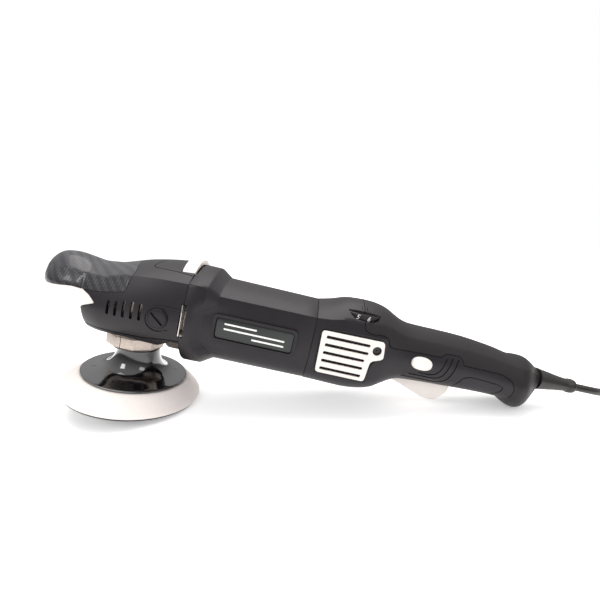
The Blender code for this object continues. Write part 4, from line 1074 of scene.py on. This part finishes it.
@dataclass
class PolishingPlate:
    """What turns under the head: the weight, the trumpet-shaped plate, its foam and the hook face."""

    orbit: float = 4.0
    hub_sides: int = 10
    hub_radius: float = 26.5
    hub_low: float = 46.3
    hub_high: float = 61.7

    def hub(self) -> None:
        """The faceted weight, with a chamfered rim and a line scribed down two facets."""
        low, high, wide = self.hub_low, self.hub_high, self.hub_radius
        hub = turned("faceted_weight", [(9.0, low), (wide - 2.4, low), (wide, low + 2.2), (wide, high - 3.4),
                                        (wide - 1.0, high - 2.6), (wide - 1.0, high), (9.0, high)],
                     (0.0, 0.0, 0.0), "Z", self.hub_sides)
        soften(hub, 0.35, 3, 20.0)
        blades = [prism("scribe", ribbon([(0.0, 0.0), (40 * math.cos(a), 40 * math.sin(a))], 0.5), low - 1.0,
                        high + 1.0, "Z") for a in (math.radians(-98.0), math.radians(82.0),
                                                   math.radians(-152.0))]
        cutter = gather(blades)
        cut(cutter, turned("core", [(1.0, low - 3.0), (wide - 2.3, low - 3.0), (wide - 2.3, high + 3.0),
                                    (1.0, high + 3.0)], (0.0, 0.0, 0.0), "Z", self.hub_sides))
        cut(hub, cutter)
        settle(hub, "spindle", CAST_ALUMINIUM, ["eccentric_hub"], 18.0)

    def plate(self) -> None:
        """The lacquered plate, whose neck flares into a thin disc with moulded ticks."""
        flare = spline([(47.9, 19.3), (46.9, 19.75), (40.0, 20.7), (34.0, 22.0), (29.0, 24.2), (25.2, 27.4),
                        (22.4, 31.5), (20.7, 35.6), (19.7, 40.4), (19.4, 45.0)], 5)
        profile = [(5.4, 24.2), (8.9, 24.2), (8.9, 17.8), (47.4, 17.8), (47.9, 18.2),
                   *[(point.x, point.y) for point in flare], (19.0, 45.7), (5.4, 45.7)]
        plate = turned("trumpet_plate", profile, (self.orbit, 0.0, 0.0), "Z", 128, hole=True)
        ticks = []
        for number in range(6):
            angle = math.tau * number / 6.0 + 0.42
            reach = [(self.orbit + r * math.cos(angle), r * math.sin(angle)) for r in (35.0, 38.6)]
            ticks.append(prism("tick", ribbon(reach, 0.8), 20.5, 26.0, "Z"))
        cut(plate, gather(ticks))
        settle(plate, "plate", HUB_GLOSS, ["backing_plate"], 34.0)

    def foam(self) -> None:
        """The soft ring, its flank slightly crowned, and the hook face under it."""
        flank = spline([(63.9, 2.9), (63.5, 4.3), (62.0, 6.3), (57.9, 10.6), (53.2, 14.7), (50.5, 16.7),
                        (49.0, 17.4)], 5)
        profile = [(12.0, 2.0), (62.6, 2.0), (63.6, 2.3), *[(point.x, point.y) for point in flank],
                   (48.0, 17.5), (12.0, 17.5)]
        ring = turned("foam_layer", profile, (self.orbit, 0.0, 0.0), "Z", 128, hole=True)
        settle(ring, "plate", FOAM, ["foam_ring"], 40.0)
        face = turned("hook_layer",
                      [(12.0, 0.0), (61.8, 0.0), (62.3, 0.4), (62.4, 1.2), (62.0, 1.65), (12.0, 1.65)],
                      (self.orbit, 0.0, 0.0), "Z", 128, hole=True)
        settle(face, "plate", HOOK_FACE, ["hook_pad"], 40.0)

    def build(self) -> None:
        """Makes the turning pieces."""
        self.hub()
        self.plate()
        self.foam()


@dataclass
class Barrel:
    """The motor housing with its stepped collar, and the badges let into its sides."""

    wall: float = 2.8
    badge_low: Point = (81.0, 82.6)
    badge_high: Point = (148.2, 100.4)

    COLLAR = ((53.0, 136.3, 45.6, 46.2, 40.6, 123.2), (54.0, 136.8, 45.0, 46.5, 41.1, 123.6),
              (61.0, 136.7, 45.0, 46.5, 41.1, 123.6), (68.4, 136.6, 45.2, 46.4, 41.0, 123.5),
              (69.6, 135.9, 45.9, 45.8, 40.5, 123.0), (78.4, 129.9, 51.4, 40.1, 36.3, 117.9),
              (79.8, 129.5, 52.0, 39.5, 35.9, 117.6))
    TUBE = ((92.0, 129.4, 52.0, 39.3, 35.8, 117.6), (120.0, 129.1, 52.0, 39.0, 35.5, 117.7),
            (150.0, 128.8, 52.0, 38.6, 35.3, 117.8), (163.6, 128.6, 52.1, 38.4, 35.2, 117.8),
            (164.2, 128.3, 52.4, 38.1, 34.9, 117.6))

    @staticmethod
    def recess(height: float) -> float:
        """How far the collar's bevel is stepped forward at a height, from 0 to 1."""
        rise = min(max((height - 63.0) / 9.0, 0.0), 1.0)
        fall = min(max((112.0 - height) / 12.0, 0.0), 1.0)
        return rise * rise * (3 - 2 * rise) * fall * fall * (3 - 2 * fall)

    def rings(self, inset: float = 0.0) -> list[list[Vector]]:
        """The housing's sections, with the bevel stepped forward on each flank."""
        rows = []
        for number, station in enumerate([*self.COLLAR, *self.TUBE]):
            ring = body_ring(station, inset)
            shift = {2: 0.0, 3: -7.0, 4: -7.2, 5: -10.2, 6: -10.4}.get(number, 0.0)
            if number == 2:
                for point in ring:
                    point.x -= 4.0 * self.recess(point.z) * (abs(point.y) > 30.0)
            elif shift:
                for point in ring:
                    point.x += shift * self.recess(point.z) * (abs(point.y) > 30.0)
            rows.append(ring)
        return rows

    def housing(self) -> None:
        """Lofts the barrel, lets the badges in and leaves a gap behind the head cover."""
        skin = loft("motor_barrel", self.rings(), True, True)
        walled(skin, self.wall)
        cut(skin, block("gap", (40.0, -FAR, 77.4), (56.2, FAR, 106.2)))
        cut(skin, block("button_notch", (40.0, -27.0, 120.0), (54.6, 27.0, 150.0)))
        lip = self.frame_outline(3.2, 5.0)
        floor = self.frame_outline(0.5, 3.2)
        for side in (-1.0, 1.0):
            low, high = sorted((side * 37.2, side * 40.3))
            cut(skin, prism("lip", lip, low, high), "UNION")
            low, high = sorted((side * 37.9, side * FAR))
            cut(skin, prism("pocket", floor, low, high))
        settle(skin, "root", BLACK_PLASTIC, ["motor_housing"], 42.0)

    def frame_outline(self, grow: float, radius: float) -> list[Point]:
        """A rounded rectangle around the badge."""
        (x0, z0), (x1, z1) = self.badge_low, self.badge_high
        return rounded([(x0 - grow, z0 - grow), (x1 + grow, z0 - grow), (x1 + grow, z1 + grow),
                        (x0 - grow, z1 + grow)], radius, 6)

    def badges(self) -> None:
        """Dark plates with a plain stripe motif in place of any lettering."""
        plate = prism("badge_front", self.frame_outline(0.0, 2.8), -39.2, -38.2)
        soften(plate, 0.25, 2)
        stripes = []
        for left, right, height in ((88.0, 116.0, 96.0), (88.0, 141.0, 91.5), (113.0, 141.0, 87.0)):
            stripe = block("stripe", (left, -39.42, height - 0.75), (right, -39.12, height + 0.75))
            stripes.append(stripe)
        mark = gather(stripes)
        mark.name = "badge_stripes_front"
        soften(mark, 0.08, 2)
        boxes = {name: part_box(name)[0].y for name in ("badge_left", "badge_right")}
        twin, mark_twin = mirrored(plate, "badge_back"), mirrored(mark, "badge_stripes_back")
        settle(plate, "root", BADGE_PLATE, [min(boxes, key=boxes.get)])
        settle(twin, "root", BADGE_PLATE, [max(boxes, key=boxes.get)])
        settle(mark, "root", BADGE_MARK)
        settle(mark_twin, "root", BADGE_MARK)

    def build(self) -> None:
        """Makes the housing and the badges."""
        self.housing()
        self.badges()


@dataclass
class Handle:
    """The rear handle: two mouldings, grilles, dial, trigger, lock-on button and the cord's sleeve."""

    wall: float = 2.3
    lock_place: Point = (266.0, 96.0)
    dial_place: tuple[float, float, float] = (205.5, -7.0, 123.0)
    screw_place: Point = (221.3, 100.9)
    cord_height: float = 98.5

    STATIONS = (
        (164.5, 128.5, 52.2, 38.3, 35.1, 117.7), (165.2, 128.8, 51.9, 38.6, 35.3, 117.9),
        (177.0, 132.0, 51.5, 38.3, 34.5, 118.9), (190.0, 136.3, 51.0, 38.0, 33.4, 121.4),
        (205.0, 137.7, 50.8, 37.5, 32.4, 122.6), (218.0, 137.3, 52.3, 36.5, 30.5, 123.0),
        (229.0, 134.8, 55.5, 35.0, 28.2, 121.6), (238.0, 130.5, 61.5, 32.5, 25.6, 118.9),
        (246.0, 126.8, 66.8, 30.5, 23.8, 116.6), (256.0, 124.8, 70.3, 29.0, 22.3, 115.4),
        (285.0, 124.4, 72.0, 27.0, 20.7, 115.2), (310.0, 123.6, 73.0, 26.5, 20.2, 114.6),
        (340.0, 120.2, 74.0, 26.3, 20.0, 112.0), (356.0, 117.3, 73.3, 27.2, 20.6, 109.6),
        (363.0, 117.8, 69.4, 27.8, 21.0, 109.2), (370.0, 117.8, 66.5, 25.8, 19.4, 108.6),
        (376.0, 116.2, 66.2, 20.8, 15.6, 107.8), (382.0, 113.0, 69.4, 14.6, 10.9, 106.2),
        (386.5, 110.2, 78.0, 11.2, 8.4, 105.0), (389.9, 107.6, 89.4, 9.0, 6.8, 104.2))
    GRIP_SEAM = ((206.0, 150.0), (205.8, 123.5), (208.4, 115.4), (214.0, 113.6), (224.2, 114.3),
                 (230.4, 112.6), (233.0, 105.6), (238.0, 104.4), (253.6, 104.5), (283.0, 104.7),
                 (287.0, 108.6), (299.8, 108.9), (303.6, 106.4), (305.0, 101.8), (327.5, 101.5),
                 (343.0, 100.9), (352.0, 97.6), (356.2, 90.5), (357.6, 80.0), (353.0, 55.0))
    PAD_LINE = ((303.0, 70.0), (307.6, 90.0), (314.4, 93.0), (341.5, 91.2), (346.0, 89.8), (346.8, 84.8),
                (343.0, 79.0))
    RIDGE_LINES = (((252.5, 80.0), (288.0, 79.0), (294.6, 83.6), (299.6, 105.8)),
                   ((258.2, 83.9), (284.0, 83.2), (289.4, 87.4), (294.2, 106.0)),
                   ((266.2, 86.8), (278.7, 86.4), (284.6, 90.2), (289.0, 104.6)))
    GRILLE = ((171.0, 109.0), (226.5, 109.8), (228.5, 94.5), (217.8, 90.5), (216.5, 71.3), (172.5, 71.3))
    WINDOW = ((189.6, 131.4), (192.6, 133.4), (217.6, 132.2), (221.8, 129.6), (217.9, 123.9), (212.2, 122.6),
              (197.9, 123.2), (192.6, 126.6))
    TRIGGER = ((248.8, 69.6), (258.0, 66.2), (271.0, 61.6), (282.0, 58.0), (289.5, 56.4), (295.5, 57.0),
               (300.5, 61.0), (306.5, 68.0), (307.0, 79.6), (249.0, 80.6))

    def build(self) -> None:
        """Makes the handle's pieces."""
        self.shells()
        self.grilles()
        self.screws()
        self.dial()
        self.trigger()
        self.lock_on()
        self.sleeve()

    def shells(self) -> None:
        """Lofts the handle, cuts its openings and lines, and parts the grip from the housing."""
        skin = body_loft("handle", self.STATIONS, 5)
        walled(skin, self.wall)
        cut(skin, prism("window", rounded(self.WINDOW, 1.6, 4), -FAR, -22.0))
        cut(skin, block("trigger_slot", (248.3, -9.8, 40.0), (312.5, 9.8, 90.0)))
        hole = prism("button_hole", oval(self.lock_place, 10.0, 6.4), -FAR, -10.0)
        cut(skin, hole)
        for side in (-1.0, 1.0):
            low, high = sorted((side * 30.0, side * FAR))
            cut(skin, prism("grille_hole", rounded(self.grown_grille(-2.2), 2.5, 4), low, high))
            low, high = sorted((side * 36.6, side * FAR))
            cut(skin, prism("grille_seat", rounded(self.grown_grille(0.7), 3.2, 5), low, high))
        cut(skin, self.grooves())
        cut(skin, prism("blade", ribbon(rounded(self.GRIP_SEAM, 2.2, 4, False), SEAM + 0.15), -FAR, FAR))
        parts = loose_parts(skin)
        grip, housing = nearest(parts, (320.0, 0.0, 122.0)), nearest(parts, (180.0, 0.0, 50.0))
        for extra in [item for item in parts if item not in (grip, housing)]:
            bpy.data.objects.remove(extra, do_unlink=True)
        grip.name, housing.name = "grip_overmould_shell", "handle_housing"
        settle(grip, "root", GRIP_RUBBER, ["handle_upper_shell"], 40.0)
        settle(housing, "root", BLACK_PLASTIC, ["handle_lower_shell"], 40.0)

    def grown_grille(self, grow: float) -> list[Point]:
        """The grille's outline, grown about its middle."""
        middle = Vector((200.0, 91.5))
        points = []
        for corner in self.GRILLE:
            away = Vector(corner) - middle
            points.append((corner[0] + math.copysign(grow, away.x), corner[1] + math.copysign(grow, away.y)))
        return points

    def grooves(self) -> bpy.types.Object:
        """Shallow lines in the grip: its inset pad, the nested corners, and ticks by the dial."""
        lines = [prism("line", ribbon(rounded(self.PAD_LINE, 3.0, 5, False), 0.9), -FAR, FAR)]
        for path in self.RIDGE_LINES:
            lines.append(prism("line", ribbon(rounded(path, 6.0, 7, False), 1.1), -FAR, FAR))
        for x in (203.6, 208.4):
            lines.append(prism("line", ribbon([(x, -30.0), (x, -16.0)], 0.7), 110.0, 150.0, "Z"))
        cutter = gather(lines)
        cut(cutter, body_loft("core", self.STATIONS, 3, 0.8, False, False))
        return cutter

    def grilles(self) -> None:
        """Pale louvred panels, and behind them a dark ribbed sheet of painted shade that stands in for the
        shaded interior.
        """
        boxes = {name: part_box(name) for name in ("vent_grille_left", "vent_grille_right")}
        front = min(boxes, key=lambda name: boxes[name][0].y)
        back = max(boxes, key=lambda name: boxes[name][0].y)
        face = boxes[front][0].y / MM
        panel = prism("louvre_panel_front", rounded(self.GRILLE, 3.2, 6), face, face + 1.9)
        soften(panel, 0.55, 3, 50.0)
        cutters = []
        for number in range(5):
            height = 75.6 + 7.1 * number
            right = 212.6 if number < 3 else 214.6
            outline = rounded([(175.6, height - 1.45), (right, height - 1.35), (right, height + 1.35),
                               (175.6, height + 1.45)], 1.4, 5)
            cutters.append(prism("louvre", outline, face - 3.0, face + 6.0))
        x, z = self.screw_place
        cutters.append(turned("screw_well", [(4.1, face - 3.0), (4.1, face + 6.0)], (x, 0.0, z), "Y", 40))
        cut(panel, gather(cutters))
        # The dark sheet and its ribs behind the louvres are painted shade: they stand in for the shaded
        # interior seen through the slots.
        shade_backing = prism("gauze_front", rounded(self.grown_grille(-2.6), 2.0, 4), face + 3.4, face + 4.0)
        pins = [block("rib", (176.0 + 4.6 * number, face + 2.6, 73.0),
                      (177.0 + 4.6 * number, face + 3.5, 106.0))
                for number in range(9)]
        shade_backing = gather([shade_backing, *pins])
        shade_backing.name = "gauze_front"
        twin, shade_backing_twin = mirrored(panel, "louvre_panel_back"), mirrored(shade_backing, "gauze_back")
        settle(panel, "root", PALE_PLASTIC, [front])
        settle(twin, "root", PALE_PLASTIC, [back])
        # The two backing sheets take the black moulding finish as painted shade for the interior.
        settle(shade_backing, "root", BLACK_PLASTIC)
        settle(shade_backing_twin, "root", BLACK_PLASTIC)

    def screws(self) -> None:
        """Black pan-head screws with a cross recess."""
        boxes = {name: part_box(name) for name in ("grille_screw_left", "grille_screw_right")}
        front = min(boxes, key=lambda name: boxes[name][0].y)
        back = max(boxes, key=lambda name: boxes[name][0].y)
        face = boxes[front][0].y / MM
        x, z = self.screw_place
        profile = [(0.6, face), (2.2, face + 0.12), (3.2, face + 0.6), (3.7, face + 1.4), (3.7, face + 2.2),
                   (1.6, face + 2.4), (1.6, face + 5.0), (0.6, face + 5.0)]
        screw = turned("cross_screw_front", profile, (x, 0.0, z), "Y", 48)
        for start, end in (((x - 1.7, z), (x + 1.7, z)), ((x, z - 1.7), (x, z + 1.7))):
            cut(screw, prism("recess", ribbon([start, end], 0.75), face - 2.0, face + 1.3))
        twin = mirrored(screw, "cross_screw_back")
        settle(screw, "root", CARBON_BRUSH, [front])
        settle(twin, "root", CARBON_BRUSH, [back])

    def dial(self) -> None:
        """The thumb wheel, knurled on its rim, with raised digits."""
        x, y, z = self.dial_place
        low, high, wide, teeth = z - 3.4, z + 5.0, 22.3, 60
        rings = []
        for radius, height in ((4.0, low), (wide - 0.8, low), (wide, low + 0.8), (wide, low + 2.4),
                               (wide - 0.5, low + 2.6),
                               (wide - 0.5, high - 0.8), (wide - 1.3, high), (4.0, high)):
            ring = []
            for step in range(teeth * 3):
                angle = math.tau * step / (teeth * 3)
                knurl = 0.5 if step % 3 == 0 and radius == wide else 0.0
                ring.append(Vector((x + (radius - knurl) * math.cos(angle),
                                    y + (radius - knurl) * math.sin(angle), height)))
            rings.append(ring)
        wheel = loft("speed_wheel", rings)
        settle(wheel, "dial", BLACK_PLASTIC, ["speed_dial"])
        for number in range(1, 7):
            angle = math.radians(-90.0 - 26.0 * (5.62 - number))
            self.digit(str(number), angle, wide - 0.55, z + 2.0)

    def digit(self, text: str, angle: float, reach: float, height: float) -> None:
        """One raised digit on the wheel's rim.

        Args:
            text: the digit.
            angle: where it stands round the wheel.
            reach: the rim's radius.
            height: the digit's middle.
        """
        bpy.ops.object.select_all(action="DESELECT")
        bpy.ops.object.text_add()
        item = bpy.context.object
        item.data.body = text
        item.data.size, item.data.extrude, item.data.shear = 6.0, 0.12, 0.25
        item.data.align_x, item.data.align_y = "CENTER", "CENTER"
        item.data.resolution_u = 3
        bpy.ops.object.convert(target="MESH")
        item = bpy.context.object
        item.name = f"dial_digit_{text}"
        out = Vector((math.cos(angle), math.sin(angle), 0.0))
        along = Vector((-out.y, out.x, 0.0))
        turn = Matrix((along, Vector((0.0, 0.0, 1.0)), out)).transposed().to_4x4()
        centre = Vector((self.dial_place[0], self.dial_place[1], 0.0))
        item.matrix_world = Matrix.Translation(centre + out * reach + Vector((0.0, 0.0, height))) @ turn
        bpy.ops.object.transform_apply(location=True, rotation=True, scale=True)
        settle(item, "dial", BADGE_MARK)

    def trigger(self) -> None:
        """The paddle, with soft edges."""
        paddle = prism("paddle_trigger", rounded(self.TRIGGER, 3.4, 5), -9.0, 9.0)
        soften(paddle, 1.3, 4, 40.0)
        settle(paddle, "trigger", PALE_PLASTIC, ["trigger"])

    def lock_on(self) -> None:
        """The oval button, domed at its edge."""
        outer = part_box("lock_on_button")[0].y / MM
        rings = []
        for grow, depth in ((0.0, 12.0), (0.0, 2.0), (-0.25, 1.0), (-0.9, 0.35), (-2.0, 0.0), (-4.6, -0.05)):
            outline = oval(self.lock_place, 9.4 + grow, 5.8 + grow, 64)
            rings.append([Vector((x, outer + depth, z)) for x, z in outline])
        settle(loft("lock_on_oval", rings), "lock_on", PALE_PLASTIC, ["lock_on_button"])

    def sleeve(self) -> None:
        """The tapered sleeve round the cord, with a bead at its end."""
        taper = spline([(10.8, 391.0), (9.9, 396.0), (8.8, 403.5), (7.4, 412.0), (6.3, 421.5)], 4)
        profile = [(4.1, 368.0), (6.5, 368.0), (6.5, 391.0), *[(point.x, point.y) for point in taper],
                   (6.3, 423.0), (6.9, 424.2), (7.1, 427.0), (6.6, 429.6), (5.4, 430.7), (4.1, 430.7)]
        sleeve = turned("cord_sleeve", profile, (0.0, 0.0, self.cord_height), "X", 72, hole=True)
        settle(sleeve, "root", CORD_RUBBER, ["strain_relief"], 40.0)


def dress_frame_nodes() -> None:
    """Gives every piece of the frame that still shows the finish of its own slot."""
    for name, node in frame["nodes"].items():
        wanted = [slot for slot in NODE_FINISHES
                  if any(slot in (m.name if m else "") for m in node.data.materials)]
        slot = wanted[0] if wanted else FRAME_SLOTS.get(name, "black_plastic")
        finish = NODE_FINISHES.get(FRAME_SLOTS.get(name, slot), BLACK_PLASTIC)
        node.data.materials.clear()
        node.data.materials.append(finish.material())
        LOG.info("%s: kept from the frame, %s", name, finish.name)


FRAME_SLOTS = {node: entry["slot"] for entry in frame["record"].get("materials", [])
               for node in entry.get("nodes", [])}


def main() -> None:
    """Sets the camera and lays the cord first, then builds the machine from nose to handle, dresses the
    frame's remaining pieces and builds the studio last.
    """
    logging.basicConfig(level=logging.INFO, format="%(name)s %(message)s")
    studio = Studio()
    studio.camera()
    Lead().build()
    Head().build()
    PolishingPlate().build()
    Barrel().build()
    Handle().build()
    dress_frame_nodes()
    studio.build()


if __name__ == "__main__":
    main()
